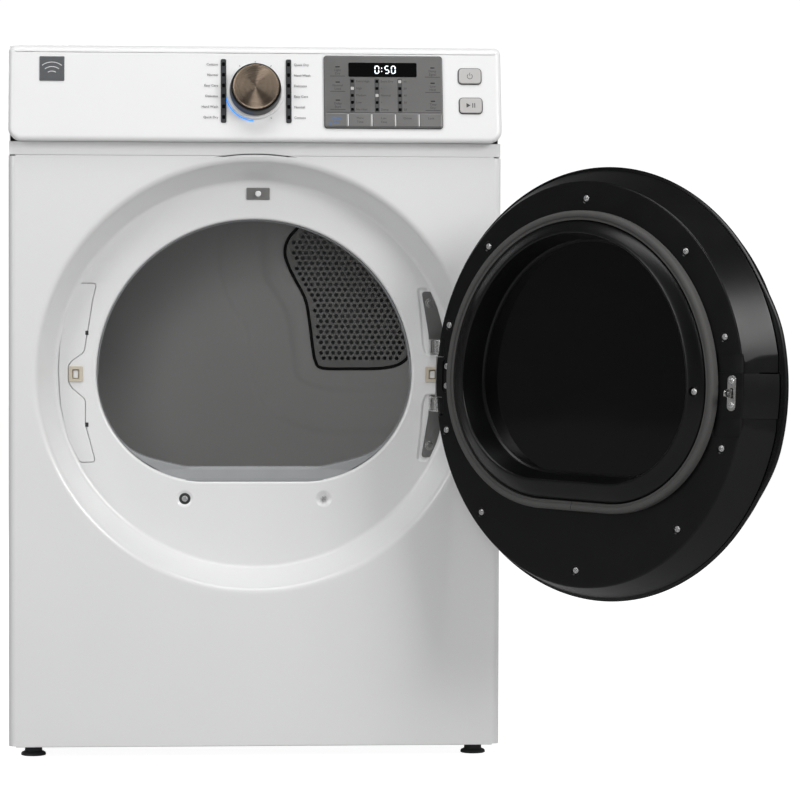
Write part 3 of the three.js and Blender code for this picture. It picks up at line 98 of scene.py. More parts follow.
def onFace(outline, z):
    # an outline on the console's face, set at height z above it
    return [(a, b, z) for a, b in outline]


class Shape:
    # gathers points in millimetres and the faces between them
    def __init__(self):
        self.points = []
        self.faces = []

    def add(self, points):
        start = len(self.points)
        self.points.extend(points)
        return list(range(start, len(self.points)))

    def loft(self, rings, closed=True, joined=False):
        rows = [self.add(ring) for ring in rings]
        if joined:
            rows.append(rows[0])
        for first, second in zip(rows, rows[1:]):
            for i in range(len(first) if closed else len(first) - 1):
                j = (i + 1) % len(first)
                self.faces.append((first[i], first[j], second[j], second[i]))
        return self

    def fill(self, outer, holes=()):
        loops = [outer, *holes]
        numbers = [i for loop in loops for i in self.add(loop)]
        if holes:
            vectors = [[Vector(point) for point in loop] for loop in loops]
            self.faces.extend(tuple(numbers[i] for i in triangle)
                              for triangle in tessellate_polygon(vectors))
        else:
            self.faces.append(tuple(numbers))
        return self

    def mesh(self, name, facing=None):
        mesh = bpy.data.meshes.new(name)
        mesh.from_pydata([Vector(point) * mm for point in self.points], [], self.faces)
        body = bmesh.new()
        body.from_mesh(mesh)
        bmesh.ops.remove_doubles(body, verts=body.verts, dist=3e-6)
        bmesh.ops.dissolve_degenerate(body, dist=1e-7, edges=body.edges)
        bmesh.ops.recalc_face_normals(body, faces=body.faces)
        if facing is not None:
            total = sum((face.normal * face.calc_area() for face in body.faces), Vector())
            if total.dot(Vector(facing)) < 0:
                bmesh.ops.reverse_faces(body, faces=body.faces)
        body.to_mesh(mesh)
        body.free()
        return mesh


def polar(reach, count=240):
    # an outline from its reach at each angle, anticlockwise from +x
    points = []
    for i in range(count):
        angle = 2 * math.pi * i / count
        radius = reach(angle)
        points.append((radius * math.cos(angle), radius * math.sin(angle)))
    return points


def oval(halfWidth, halfHeight=None, count=240):
    halfHeight = halfHeight or halfWidth
    return polar(lambda a: 1 / math.hypot(math.cos(a) / halfWidth, math.sin(a) / halfHeight), count)


def archOutline(side, top, drop, count=240):
    # a half oval over a flat bottom with wide round corners
    def reach(angle):
        c, s = math.cos(angle), math.sin(angle)
        if s >= 0:
            return 1 / math.hypot(c / side, s / top)
        flat = drop / max(-s, 1e-9)
        if abs(flat * c) <= side - drop:
            return flat
        k = math.copysign(side - drop, c)
        return c * k + math.sqrt(max(c * c * k * k - k * k + drop * drop, 0))
    return polar(reach, count)


def ease(t):
    t = min(max(t, 0), 1)
    return t * t * (3 - 2 * t)


def between(first, second, share):
    return [(a + (c - a) * share, b + (d - b) * share) for (a, b), (c, d) in zip(first, second)]


def inset(outline, amount):
    # moves an anticlockwise outline inward (outward when negative) along its corner bisectors
    moved = []
    for i, here in enumerate(outline):
        before, after = Vector(outline[i - 1]), Vector(outline[(i + 1) % len(outline)])
        here = Vector(here)
        into, out = (here - before).normalized(), (after - here).normalized()
        normal = Vector((-into.y - out.y, into.x + out.x))
        if normal.length < 1e-6:
            moved.append(tuple(here))
            continue
        normal.normalize()
        spread = max(normal.dot(Vector((-out.y, out.x))), 0.3)
        moved.append(tuple(here + normal * (amount / spread)))
    return moved


def roundedBox(centre, size, radius, steps=6, top=None):
    # a rectangle with round corners; top gives the upper corners a radius of their own
    low, high = radius, radius if top is None else top
    left, right = centre[0] - size[0] / 2, centre[0] + size[0] / 2
    bottom, ceiling = centre[1] - size[1] / 2, centre[1] + size[1] / 2
    corners = [
        (right - low, bottom + low, low, -90), (right - high, ceiling - high, high, 0),
        (left + high, ceiling - high, high, 90), (left + low, bottom + low, low, 180),
    ]
    points = []
    for x, y, r, start in corners:
        for i in range(steps + 1):
            angle = math.radians(start + 90 * i / steps)
            points.append((x + r * math.cos(angle), y + r * math.sin(angle)))
    return points


def smoothLoop(points, steps=8):
    # a closed curve through given points
    made = []
    count = len(points)
    for i in range(count):
        p0, p1, p2, p3 = (Vector(points[(i + k) % count]) for k in (-1, 0, 1, 2))
        for step in range(steps):
            t = step / steps
            made.append(tuple(0.5 * (2 * p1 + (p2 - p0) * t + (2 * p0 - 5 * p1 + 4 * p2 - p3) * t * t
                                     + (3 * p1 - p0 - 3 * p2 + p3) * t ** 3)))
    return made


def roundCorners(points, radius, steps=4):
    # an outline with each corner cut round
    made = []
    for i, here in enumerate(points):
        here = Vector(here)
        before, after = Vector(points[i - 1]), Vector(points[(i + 1) % len(points)])
        back, ahead = (before - here), (after - here)
        reach = min(radius, back.length * 0.45, ahead.length * 0.45)
        start, end = here + back.normalized() * reach, here + ahead.normalized() * reach
        for step in range(steps + 1):
            t = step / steps
            made.append(tuple(start * (1 - t) ** 2 + here * 2 * t * (1 - t) + end * t * t))
    return made


def plate(outline, back, front, edge=0.6, steps=3, holes=(), flat=onFace, backEdge=0):
    # a plate between two heights with rounded front edges, and holes through it
    shape = Shape()
    up = 1 if front > back else -1
    turns = [math.pi / 2 * i / steps for i in range(steps + 1)]
    rings = [flat(inset(outline, backEdge), back)]
    if backEdge:
        rings.append(flat(outline, back + up * backEdge))
    for t in turns:
        rings.append(flat(inset(outline, edge * (1 - math.cos(t))), front - up * edge * (1 - math.sin(t))))
    rings.append(flat(inset(outline, edge * 1.5), front))
    shape.loft(rings)
    holeFronts, holeBacks = [], []
    for hole in holes:
        wall = [flat(inset(hole, -edge * 0.6), front), flat(hole, front - up * edge * 0.6), flat(hole, back)]
        shape.loft(wall)
        holeFronts.append(wall[0])
        holeBacks.append(wall[-1])
    shape.fill(rings[-1], holeFronts)
    shape.fill(rings[0], holeBacks)
    return shape


def lathe(profile, sides=96, alongY=True, closed=False):
    # turns (radius, height) points about the y axis, or about z on the console
    shape = Shape()
    rings = []
    for radius, height in profile:
        ring = oval(max(radius, 0.01), count=sides)
        rings.append(frontOf(ring, height) if alongY else onFace(ring, height))
    shape.loft(rings, joined=closed)
    if not closed:
        shape.fill(rings[0])
        shape.fill(rings[-1])
    return shape


def shade(mesh, angle=38):
    mesh.polygons.foreach_set("use_smooth", [True] * len(mesh.polygons))
    mesh.set_sharp_from_angle(angle=math.radians(angle))
    mesh.update()


def addPiece(name, mesh, place, body, finish, replaced=(), angle=38, weighted=True):
    piece = bpy.data.objects.new(name, mesh)
    bpy.context.scene.collection.objects.link(piece)
    piece.matrix_world = place
    mesh.materials.clear()
    mesh.materials.append(finish)
    shade(mesh, angle)
    if weighted:
        modifier = piece.modifiers.new("even shading", "WEIGHTED_NORMAL")
        modifier.keep_sharp = True
    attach(piece, body)
    if replaced:
        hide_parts(*replaced)
    return piece


def bakedMesh(piece):
    graph = bpy.context.evaluated_depsgraph_get()
    return bpy.data.meshes.new_from_object(piece.evaluated_get(graph))


def carve(mesh, cutters, operation="DIFFERENCE"):
    # cuts closed shapes out of a closed mesh and gives the mesh that is left
    piece = bpy.data.objects.new("blank", mesh)
    bpy.context.scene.collection.objects.link(piece)
    tools = []
    for cutter in cutters:
        tool = bpy.data.objects.new("cutter", cutter)
        bpy.context.scene.collection.objects.link(tool)
        modifier = piece.modifiers.new("carve", "BOOLEAN")
        modifier.operation = operation
        modifier.solver = "EXACT"
        modifier.object = tool
        tools.append(tool)
    bpy.context.view_layer.update()
    left = bakedMesh(piece)
    for spent in [piece, *tools]:
        bpy.data.objects.remove(spent)
    return left


def joinMeshes(name, parts):
    # one mesh from (mesh, matrix) pairs
    body = bmesh.new()
    for mesh, matrix in parts:
        start = len(body.verts)
        body.from_mesh(mesh)
        body.verts.ensure_lookup_table()
        for vertex in body.verts[start:]:
            vertex.co = matrix @ vertex.co
    made = bpy.data.meshes.new(name)
    body.to_mesh(made)
    body.free()
    return made


def prism(points, low, high, flat):
    # a closed straight-sided cutter
    shape = Shape().loft([flat(points, low), flat(points, high)])
    return shape.fill(flat(points, low)).fill(flat(points, high)).mesh("cutter")


class Wire:
    # a socket of a finish; plain sums on it add Math nodes
    def __init__(self, finish, socket):
        self.finish = finish
        self.socket = socket

    def math(self, operation, first, second):
        return self.finish.math(operation, first, second)

    def __add__(self, other):
        return self.math("ADD", self, other)

    def __radd__(self, other):
        return self.math("ADD", other, self)

    def __sub__(self, other):
        return self.math("SUBTRACT", self, other)

    def __rsub__(self, other):
        return self.math("SUBTRACT", other, self)

    def __mul__(self, other):
        return self.math("MULTIPLY", self, other)

    def __rmul__(self, other):
        return self.math("MULTIPLY", other, self)


class Finish:
    # a material built node by node; constants are set straight on the shader
    def __init__(self, name, **constants):
        self.material = bpy.data.materials.new(name)
        self.material.use_nodes = True
        self.tree = self.material.node_tree
        self.shader = self.tree.nodes["Principled BSDF"]
        for key, value in constants.items():
            self.shader.inputs[key.replace("_", " ")].default_value = value

    def add(self, kind, settings=None, inputs=None, output=0):
        node = self.tree.nodes.new(kind)
        for key, value in (settings or {}).items():
            if key == "stops":
                for element, (position, colour) in zip(self.rampElements(node, len(value)), value):
                    element.position = position
                    element.color = colour
            else:
                setattr(node, key, value)
        for key, value in (inputs or {}).items():
            self.join(node.inputs[key], value)
        return Wire(self, node.outputs[output])

    def rampElements(self, node, count):
        elements = node.color_ramp.elements
        while len(elements) < count:
            elements.new(0.5)
        return elements

    def math(self, operation, first, second):
        return self.add("ShaderNodeMath", {"operation": operation}, {0: first, 1: second})

    def join(self, socket, value):
        if isinstance(value, Wire):
            self.tree.links.new(value.socket, socket)
        else:
            socket.default_value = value

    def feed(self, **values):
        for key, value in values.items():
            self.join(self.shader.inputs[key.replace("_", " ")], value)
        return self

    def place(self, stretch=(1, 1, 1)):
        spot = self.add("ShaderNodeTexCoord", output="Object")
        return self.add("ShaderNodeMapping", {}, {"Vector": spot, "Scale": stretch})

    def noise(self, scale, detail=3, roughness=0.5, stretch=(1, 1, 1), output="Fac"):
        values = {"Vector": self.place(stretch), "Scale": scale, "Detail": detail, "Roughness": roughness}
        return self.add("ShaderNodeTexNoise", {}, values, output)

    def mix(self, factor, first, second):
        return self.add("ShaderNodeMix", {"data_type": "RGBA"}, {0: factor, 6: first, 7: second}, 2)

    def bump(self, height, distance, strength=1.0):
        values = {"Height": height, "Distance": distance, "Strength": strength}
        self.feed(Normal=self.add("ShaderNodeBump", {}, values))
        return self


def tone(level, warm=0.0):
    # a linear grey, a little warm or cool
    return (level * (1 + warm), level, level * (1 - warm), 1)


def plainFinish(name, dark, light, roughness, spread, grain, grainDepth, cloud=6, **constants):
    # moulded or painted surfaces: slow colour and gloss changes, with a fine grain in relief
    finish = Finish(name, **constants)
    slow = finish.noise(cloud, 4, 0.6)
    fine = finish.noise(grain, 3, 0.55)
    finish.feed(Base_Color=finish.mix(slow, dark, light))
    finish.feed(Roughness=roughness + (slow - 0.5) * spread + (fine - 0.5) * spread * 0.6)
    return finish.bump(fine, grainDepth)


def brushedFinish(name, dark, light, roughness, streak, metallic=1.0, depth=6e-6, scale=60, **constants):
    # drawn or brushed metal: long streaks along one way
    finish = Finish(name, Metallic=metallic, **constants)
    line = finish.noise(scale, 5, 0.65, streak)
    cloud = finish.noise(18, 3, 0.5)
    finish.feed(Base_Color=finish.mix(line * 0.7 + cloud * 0.3, dark, light))
    finish.feed(Roughness=roughness + (line - 0.5) * 0.22 + (cloud - 0.5) * 0.1)
    return finish.bump(line, depth)


def galvanisedFinish():
    # zinc-coated steel with its crystal spangle
    finish = Finish("galvanisedSteel", Metallic=0.9)
    spot = finish.place()
    spangle = finish.add("ShaderNodeTexVoronoi", {}, {"Vector": spot, "Scale": 70.0, "Randomness": 1.0},
                         "Color")
    level = finish.add("ShaderNodeSeparateColor", {}, {0: spangle})
    rub = finish.noise(9, 5, 0.7)
    finish.feed(Base_Color=finish.mix(level * 0.6 + rub * 0.4, tone(0.30, -0.01), tone(0.50, -0.015)))
    finish.feed(Roughness=0.34 + level * 0.16 + (rub - 0.5) * 0.2)
    return finish.bump(level, 8e-6)


def spunFinish():
    # turned bronze-coloured metal: fine rings about the axis, and faint spokes of painted sheen in its colour
    finish = Finish("spunBronze", Metallic=1.0, Anisotropic=0.9)
    spot = finish.add("ShaderNodeTexCoord", output="Object")
    radius = finish.add("ShaderNodeVectorMath", {"operation": "LENGTH"}, {0: finish.place((1, 1, 0))},
                        "Value")
    rings = finish.add("ShaderNodeTexNoise", {"noise_dimensions": "1D"}, {"W": radius * 2600, "Detail": 2.0})
    across = finish.add("ShaderNodeSeparateXYZ", {}, {0: spot})
    upward = finish.add("ShaderNodeSeparateXYZ", {}, {0: spot}, "Y")
    angle = finish.math("ARCTAN2", upward, across)
    # painted sheen: lighter and darker spokes about the axis, put in the colour to mimic the streaked
    # highlight of turned metal
    paintedSheenSpokes = finish.add("ShaderNodeTexNoise", {"noise_dimensions": "1D"}, {"W": angle * 9, "Detail": 3.0})
    # the colour mixes the painted sheen spokes with the real turned rings
    finish.feed(Base_Color=finish.mix(paintedSheenSpokes * 0.6 + rings * 0.4, (0.33, 0.25, 0.185, 1),
                                      (0.55, 0.44, 0.34, 1)))
    finish.feed(Roughness=0.26 + (rings - 0.5) * 0.14)
    return finish.bump(rings, 4e-6)


def glowFinish(name, colour, strength):
    # lit digits and lamps: a bright core that softens a little from place to place
    finish = Finish(name, Roughness=0.4, Emission_Strength=strength)
    cloud = finish.noise(180, 2)
    dim = tuple(channel * 0.82 for channel in colour[:3]) + (1,)
    finish.feed(Emission_Color=finish.mix(cloud, dim, colour), Base_Color=finish.mix(cloud, dim, colour))
    return finish


def smokedGlassFinish(name, level, roughness):
    # near-black glass with the faintest smears in its gloss
    finish = Finish(name, Specular_IOR_Level=0.5)
    smear = finish.noise(14, 5, 0.62, (1, 1, 2.2))
    finish.feed(Base_Color=finish.mix(smear, tone(level * 0.8), tone(level * 1.2)))
    finish.feed(Roughness=roughness + smear * 0.05)
    return finish


print("finishes")
white = plainFinish("whiteEnamel", tone(0.765, -0.004), tone(0.79, -0.004), 0.3, 0.06, 900, 5e-6,
                    Coat_Weight=0.35, Coat_Roughness=0.12)
fasciaWhite = plainFinish("whitePlastic", tone(0.80, -0.003), tone(0.825, -0.003), 0.34, 0.06, 2600, 4e-6)
doorBlack = plainFinish("satinBlackPlastic", tone(0.0018, -0.05), tone(0.0030, -0.05), 0.31, 0.1, 2600,
                        1.2e-5, 22, Specular_IOR_Level=0.34)
frameBlack = plainFinish("glossBlackPlastic", tone(0.0020, -0.05), tone(0.0030, -0.05), 0.22, 0.08, 1800,
                         5e-6, 22, Specular_IOR_Level=0.42)
windowGlass = smokedGlassFinish("smokedGlass", 0.0032, 0.03)
panelGlass = smokedGlassFinish("blackGlass", 0.0015, 0.02)
sealGrey = plainFinish("greyRubber", tone(0.06, 0.02), tone(0.085, 0.02), 0.8, 0.16, 1500, 4e-5, 40)
tyreBlack = plainFinish("blackRubber", tone(0.012), tone(0.02), 0.8, 0.15, 1200, 5e-5, 60)
moulded = plainFinish("darkPlastic", tone(0.028, -0.03), tone(0.04, -0.03), 0.5, 0.14, 2200, 2e-5, 30)
stripDark = plainFinish("lightStripPlastic", tone(0.024, -0.06), tone(0.034, -0.06), 0.42, 0.1, 2400, 8e-6,
                        60)
ivory = plainFinish("ivoryPlastic", (0.52, 0.465, 0.37, 1), (0.60, 0.545, 0.45, 1), 0.46, 0.1, 2000, 1e-5,
                    50)
drumGrey = plainFinish("drumCoat", tone(0.63, 0.005), tone(0.68, 0.005), 0.38, 0.1, 700, 9e-6, 9,
                       Coat_Weight=0.2, Coat_Roughness=0.25)
lipGrey = plainFinish("greyPlastic", tone(0.27, -0.03), tone(0.31, -0.03), 0.5, 0.1, 2200, 1e-5, 30)
grilleGrey = plainFinish("grillePlastic", tone(0.34, 0.01), tone(0.40, 0.01), 0.45, 0.12, 2000, 1e-5, 30)
buttonGrey = plainFinish("buttonPlastic", tone(0.47, 0.02), tone(0.50, 0.02), 0.42, 0.08, 2600, 5e-6, 60)
inkDark = plainFinish("darkInk", tone(0.05), tone(0.075), 0.5, 0.1, 3000, 2e-6, 200)
inkBlue = plainFinish("blueInk", (0.03, 0.2, 0.55, 1), (0.045, 0.25, 0.62, 1), 0.45, 0.1, 3000, 2e-6, 200)
inkPale = plainFinish("paleInk", tone(0.62), tone(0.7), 0.45, 0.1, 3000, 2e-6, 200)
badgeGrey = brushedFinish("badgeMetal", tone(0.15, -0.05), tone(0.24, -0.05), 0.36, (6, 40, 1), 0.7)
film = brushedFinish("brushedFilm", tone(0.20, 0.01), tone(0.29, 0.01), 0.36, (1.2, 60, 1), 0.75, 3e-6)
keyFilm = brushedFinish("brushedKey", tone(0.22, 0.01), tone(0.30, 0.01), 0.38, (1.2, 60, 1), 0.7, 3e-6)
zinc = brushedFinish("brushedZinc", tone(0.34, 0.01), tone(0.50, 0.01), 0.42, (30, 30, 2))
chrome = brushedFinish("brightSteel", tone(0.62, 0.005), tone(0.78, 0.005), 0.27, (20, 20, 4), 1.0, 2e-6)
brass = brushedFinish("latchBrass", (0.36, 0.27, 0.13, 1), (0.5, 0.4, 0.22, 1), 0.35, (10, 10, 10))
galvanised = galvanisedFinish()
bronze = spunFinish()
screwSteel = plainFinish("screwSteel", tone(0.48), tone(0.62), 0.36, 0.1, 2200, 5e-6, 60, Metallic=0.6)
darkSteel = brushedFinish("darkSteel", tone(0.07), tone(0.12), 0.34, (12, 12, 12), 0.9)
digitGlow = glowFinish("digitGlow", (0.86, 0.93, 1.0, 1), 2.2)
blueGlow = glowFinish("blueLamp", (0.05, 0.32, 0.9, 1), 0.9)

view = {
    "place": (-142.9, -4891.0, 663.2), "yaw": 4.034, "pitch": 1.893, "roll": -0.176,
    "lens": 157.73, "sensor": 36,
}


def setCamera():
    camera = bpy.data.objects.new("camera", bpy.data.cameras.new("camera"))
    bpy.context.scene.collection.objects.link(camera)
    camera.data.lens = view["lens"]
    camera.data.sensor_width = view["sensor"]
    camera.data.clip_end = 100
    aim = Matrix.Identity(4)
    for angle, axis in ((-view["yaw"], "Z"), (-view["pitch"], "X"), (view["roll"], "Y"), (90, "X")):
        aim = aim @ Matrix.Rotation(math.radians(angle), 4, axis)
    camera.matrix_world = cabinetPlace @ shift(*view["place"]) @ aim
    bpy.context.scene.camera = camera


softLights = [
    # name, place and target in metres in the cabinet's frame, size, power, shade, seen in gloss
    ("keyLight", (2.6, -2.9, 2.3), (0.0, 0.0, 0.6), (1.5, 1.5), 78, (1.0, 0.995, 0.99), True),
    ("sideLight", (-3.0, -2.6, 2.0), (0.0, 0.0, 0.6), (1.0, 2.0), 38, (1.0, 1.0, 1.0), True),
    ("topLight", (0.0, -1.1, 3.3), (0.0, -0.05, 0.7), (2.4, 1.2), 36, (1.0, 1.0, 1.0), True),
    ("frontLight", (-0.5, -4.7, 1.1), (0.0, 0.0, 0.55), (0.9, 0.9), 32, (1.0, 0.995, 0.99), False),
    ("rimLight", (2.9, 1.2, 1.6), (0.6, -0.3, 0.6), (0.9, 2.4), 30, (1.0, 1.0, 1.0), False),
    ("backLight", (-1.6, 3.6, 2.2), (0.0, 0.4, 0.5), (2.4, 2.4), 60, (1.0, 1.0, 1.0), True),
]


def addLight(name, place, target, size, power, shadeOf, inGloss):
    light = bpy.data.lights.new(name, "AREA")
    light.shape = "RECTANGLE"
    light.size, light.size_y = size
    light.energy = power
    light.color = shadeOf
    lamp = bpy.data.objects.new(name, light)
    bpy.context.scene.collection.objects.link(lamp)
    lamp.location = cabinetPlace @ Vector(place)
    lamp.rotation_euler = (Vector(target) - Vector(place)).to_track_quat("-Z", "Y").to_euler()
    lamp.visible_camera = False
    lamp.visible_glossy = inGloss


def setWorld():
    # white behind the object, with dimmer even light on it and dimmer still in its gloss
    world = bpy.data.worlds.new("studio")
    bpy.context.scene.world = world
    world.use_nodes = True
    nodes, links = world.node_tree.nodes, world.node_tree.links
    nodes.clear()
    path = nodes.new("ShaderNodeLightPath")
    last = None
    for strength, ray in ((0.15, None), (0.08, "Is Glossy Ray"), (1.05, "Is Camera Ray")):
        glow = nodes.new("ShaderNodeBackground")
        glow.inputs["Color"].default_value = (1, 1, 1, 1)
        glow.inputs["Strength"].default_value = strength
        if last is None:
            last = glow
            continue
        mixed = nodes.new("ShaderNodeMixShader")
        links.new(path.outputs[ray], mixed.inputs[0])
        links.new(last.outputs[0], mixed.inputs[1])
        links.new(glow.outputs[0], mixed.inputs[2])
        last = mixed
    out = nodes.new("ShaderNodeOutputWorld")
    links.new(last.outputs[0], out.inputs["Surface"])


def addFloor():
    # white where it is seen, and only a soft glow on the object above it
    finish = plainFinish("paleFloor", tone(0.3), tone(0.33), 0.7, 0.05, 40, 1e-5, 2, Emission_Strength=0.95)
    seen = finish.add("ShaderNodeLightPath")
    finish.feed(Emission_Color=finish.mix(seen, tone(0.1), tone(1)))
    outline = oval(14000, count=96)
    mesh = Shape().fill([(a, b, 0) for a, b in outline]).mesh("floor", facing=(0, 0, 1))
    floor = bpy.data.objects.new("floor", mesh)
    bpy.context.scene.collection.objects.link(floor)
    floor.location = (cabinetPlace.translation.x, cabinetPlace.translation.y, 0)
    mesh.materials.append(finish.material)


print("camera and studio")
bpy.context.scene.view_settings.view_transform = "Standard"
setCamera()
for lamp in softLights:
    addLight(*lamp)
setWorld()
addFloor()

panel = {
    "halfWidth": 343, "low": 16, "high": 841, "bend": 10, "wrap": 25, "lip": 1.5, "flange": 18, "sheet": 1.2,
    "recess": (300, 295), "fillet": 12, "shelf": (282, 273), "shelfDepth": 50, "shelfFillet": 8,
    "opening": (222, 218, 151), "openingRoll": 4, "openingReturn": 10,
}
hingePockets = [
    [(227, 124), (232, 84), (235, 40), (240, 26), (262, 26), (270, 30), (268, 62), (259, 96), (249, 118),
     (244, 124)],
]
hingePockets.append([(x, -z) for x, z in reversed(hingePockets[0])])
spareOutline = [
    (-253.5, 127), (-267, 76), (-273.5, 38), (-275, 3), (-272, -46), (-262, -92), (-245, -124), (-224, -123),
    (-231, -97), (-238, -71), (-238, -36), (-257, -20), (-262, -12), (-262, 12), (-257, 19), (-239.5, 31),
    (-237, 50), (-234, 65), (-228, 104), (-222.7, 127),
]
shelfScrews = [(-98, -175.6), (98, -175.6)]


def panelEdge(halfWidth, low, high, count=240):
    # the ring of points on the panel's edge that face the recess's points
    def reach(angle):
        c, s = math.cos(angle), math.sin(angle)
        across = halfWidth / max(abs(c), 1e-9)
        return min(across, (high if s > 0 else -low) / max(abs(s), 1e-9))
    ring = polar(reach, count)
    for corner in [(halfWidth, high), (-halfWidth, high), (-halfWidth, low), (halfWidth, low)]:
        nearest = min(range(count), key=lambda i: math.dist(ring[i], corner))
        ring[nearest] = corner
    return ring


def buildFrontPanel():
    low, high = panel["low"] - ringHeight + panel["lip"], panel["high"] - ringHeight - panel["lip"]
    flatHalf = panel["halfWidth"] - panel["bend"]
    edge = panelEdge(flatHalf, low, high)
    rim = oval(*panel["recess"])
    shelf = oval(*panel["shelf"])
    shape = Shape()
    rings = [frontOf(edge, 0), frontOf(inset(rim, -panel["fillet"] - 1.5), 0)]
    lean = math.atan2(panel["recess"][0] - panel["shelf"][0], panel["shelfDepth"])
    for step in range(9):
        turn = step / 8 * (math.pi / 2 - lean)
        away = panel["fillet"] * (1 - math.sin(turn))
        rings.append(frontOf(inset(rim, -away), panel["fillet"] * (1 - math.cos(turn))))
    for step in range(7):
        # the bevel runs down into the shelf over a rounded foot
        turn = step / 6 * (math.pi / 2 - lean)
        r, depth = panel["shelfFillet"], panel["shelfDepth"]
        foot = r * math.tan((math.pi / 2 - lean) / 2)
        alongX = -foot * math.sin(lean) + r * (math.cos(lean) - math.cos(lean + turn))
        alongY = foot * math.cos(lean) - r * (math.sin(lean + turn) - math.sin(lean))
        rings.append(frontOf(inset(shelf, alongX), depth - max(alongY, 0)))
    shelfEdge = rings[-1]
    shape.loft(rings)
    opening = archOutline(*panel["opening"])
    roll, depth = panel["openingRoll"], panel["shelfDepth"]
    shelfInner = frontOf(inset(opening, -roll - 1), depth)
    turned = [shelfInner]
    for step in range(6):
        turn = step / 5 * math.pi / 2
        turned.append(frontOf(inset(opening, -roll * (1 - math.sin(turn))),
                              depth + roll * (1 - math.cos(turn))))
    turned.append(frontOf(opening, depth + panel["openingReturn"]))
    shape.loft(turned)
    holes = [shelfInner]
    for outline in hingePockets:
        soft = roundCorners(outline, 9, 5)
        steps = [(0, 0), (1.2, 0.25), (2.6, 1.4), (3.6, 2.6), (5, 3)]
        wall = [frontOf(inset(soft, away), depth + down) for away, down in steps]
        shape.loft(wall).fill(wall[-1])
        holes.append(wall[0])
    spare = roundCorners(spareOutline, 5, 4)
    wall = [frontOf(inset(spare, -away), depth + down) for away, down in ((1.8, 0), (1.0, 0.8), (1.0, 4))]
    shape.loft(wall).fill(wall[-1])
    holes.append(wall[0])
    for x, z in shelfScrews:
        wall = [frontOf([(a + x, b + z) for a, b in oval(r, count=32)], depth + down)
                for r, down in [(13, 0), (11.5, 0.3), (9.5, 1.2), (6, 3.6), (5, 4)]]
        shape.loft(wall).fill(wall[-1])
        holes.append(wall[0])
    shape.fill(shelfEdge, holes)
    for side in (-1, 1):
        # each upright edge wraps round to the side
        column = sorted((point for point in edge if abs(point[0] - side * flatHalf) < 1e-6),
                        key=lambda p: p[1])
        rows = []
        for step in range(9):
            turn = step / 8 * math.pi / 2
            x = side * (flatHalf + panel["bend"] * math.sin(turn))
            rows.append([(x, panel["bend"] * (1 - math.cos(turn)), b) for a, b in column])
        rows.append([(side * panel["halfWidth"], panel["wrap"], b) for a, b in column])
        shape.loft(rows, closed=False)
    for sign, level in ((-1, low), (1, high)):
        row = sorted((point for point in edge if abs(point[1] - level) < 1e-6), key=lambda p: p[0])
        rows = []
        for step in range(5):
            turn = step / 4 * math.pi / 2
            back, along = panel["lip"] * (1 - math.cos(turn)), sign * panel["lip"] * math.sin(turn)
            rows.append([(a, back, level + along) for a, b in row])
        rows.append([(a, panel["flange"], level + sign * panel["lip"]) for a, b in row])
        shape.loft(rows, closed=False)
    mesh = shape.mesh("front_sheet", facing=(0, -1, 0))
    for face in mesh.polygons:
        # every face of the pressed sheet looks forward or sideways
        if face.normal.y > 0.02:
            face.flip()
    piece = addPiece("front_sheet", mesh, ringPlace, "cabinet", white.material,
                     ["front_panel"], 60)
    thick = piece.modifiers.new("sheet", "SOLIDIFY")
    thick.thickness = panel["sheet"] * mm
    thick.offset = -1
    piece.modifiers.move(1, 0)


print("front panel")
buildFrontPanel()

screw = {
    "profile": [
        (4.2, 0.2), (4.2, -0.5), (4.0, -1.1), (3.5, -1.6), (2.7, -1.95), (2.2, -2.05), (1.5, -2.1),
        (1.0, -2.15), (0.62, -2.2), (0.3, -2.2),
    ],
    "sides": 48, "crossReach": 2.7, "crossWidth": 0.62, "crossDepth": 1.3,
}
socket = {
    "profile": [(6.4, 0.3), (6.4, -0.2), (6.0, -0.6), (4.6, -0.6), (4.3, -0.2), (3.9, -0.2), (3.6, -0.5)],
    "sides": 48, "mouth": (2.4, -0.5), "foot": (2.3, 1.4),
}


def crossScrew():
    # a domed head with a cross recess
    rings = []
    for radius, y in screw["profile"]:
        ring = []
        for a, b in oval(radius, count=screw["sides"]):
            slim = min(abs(a), abs(b)) < screw["crossWidth"]
            inCross = slim and max(abs(a), abs(b)) < screw["crossReach"]
            ring.append((a, y + (screw["crossDepth"] if inCross else 0), b))
        rings.append(ring)
    return Shape().loft(rings).fill(rings[-1]).fill(rings[0]).mesh("cross_screw")


def socketScrew():
    # a flat round head with a round socket in a shallow ring
    profile = [*socket["profile"], socket["mouth"], socket["foot"]]
    rings = [frontOf(oval(radius, count=socket["sides"]), y) for radius, y in profile]
    return Shape().loft(rings).fill(rings[-1]).fill(rings[0]).mesh("socket_screw")


def addScrew(name, mesh, place, spot, body, finish, facing=1, turn=0.0):
    # set down on a face that looks to -y, or to +y when facing is -1
    placed = place @ shift(*spot) @ Matrix.Rotation(turn, 4, "Y")
    if facing < 0:
        placed = placed @ Matrix.Rotation(math.pi, 4, "Z")
    return addPiece(name, mesh.copy(), placed, body, finish.material, (), 50, False)


crossHead = crossScrew()
socketHead = socketScrew()
for i, (x, z) in enumerate(shelfScrews):
    addScrew(f"shelf_screw_{i + 1}", crossHead, ringPlace, (x, 52.4, z), "cabinet", screwSteel, 1,
             0.5 + 0.3 * i)

switchPlate = {
    "centre": (4.5, 254), "size": (33, 17), "radius": 1.5, "front": 2, "hole": 4.6,
    "plunger": [(4, 12), (4, -4), (3.8, -4.6), (3.2, -5), (1.5, -5.1)],
}
catch = {
    "x": 251, "width": 20, "height": 22, "front": 2, "back": 18, "slot": (9.4, 13),
    "liner": (0.15, 1.1), "linerFront": 1.4, "linerBack": 8,
    "bladeX": 1.7, "blade": (1.3, 9.6), "bladeFront": 1.5, "bladeBack": 12,
}


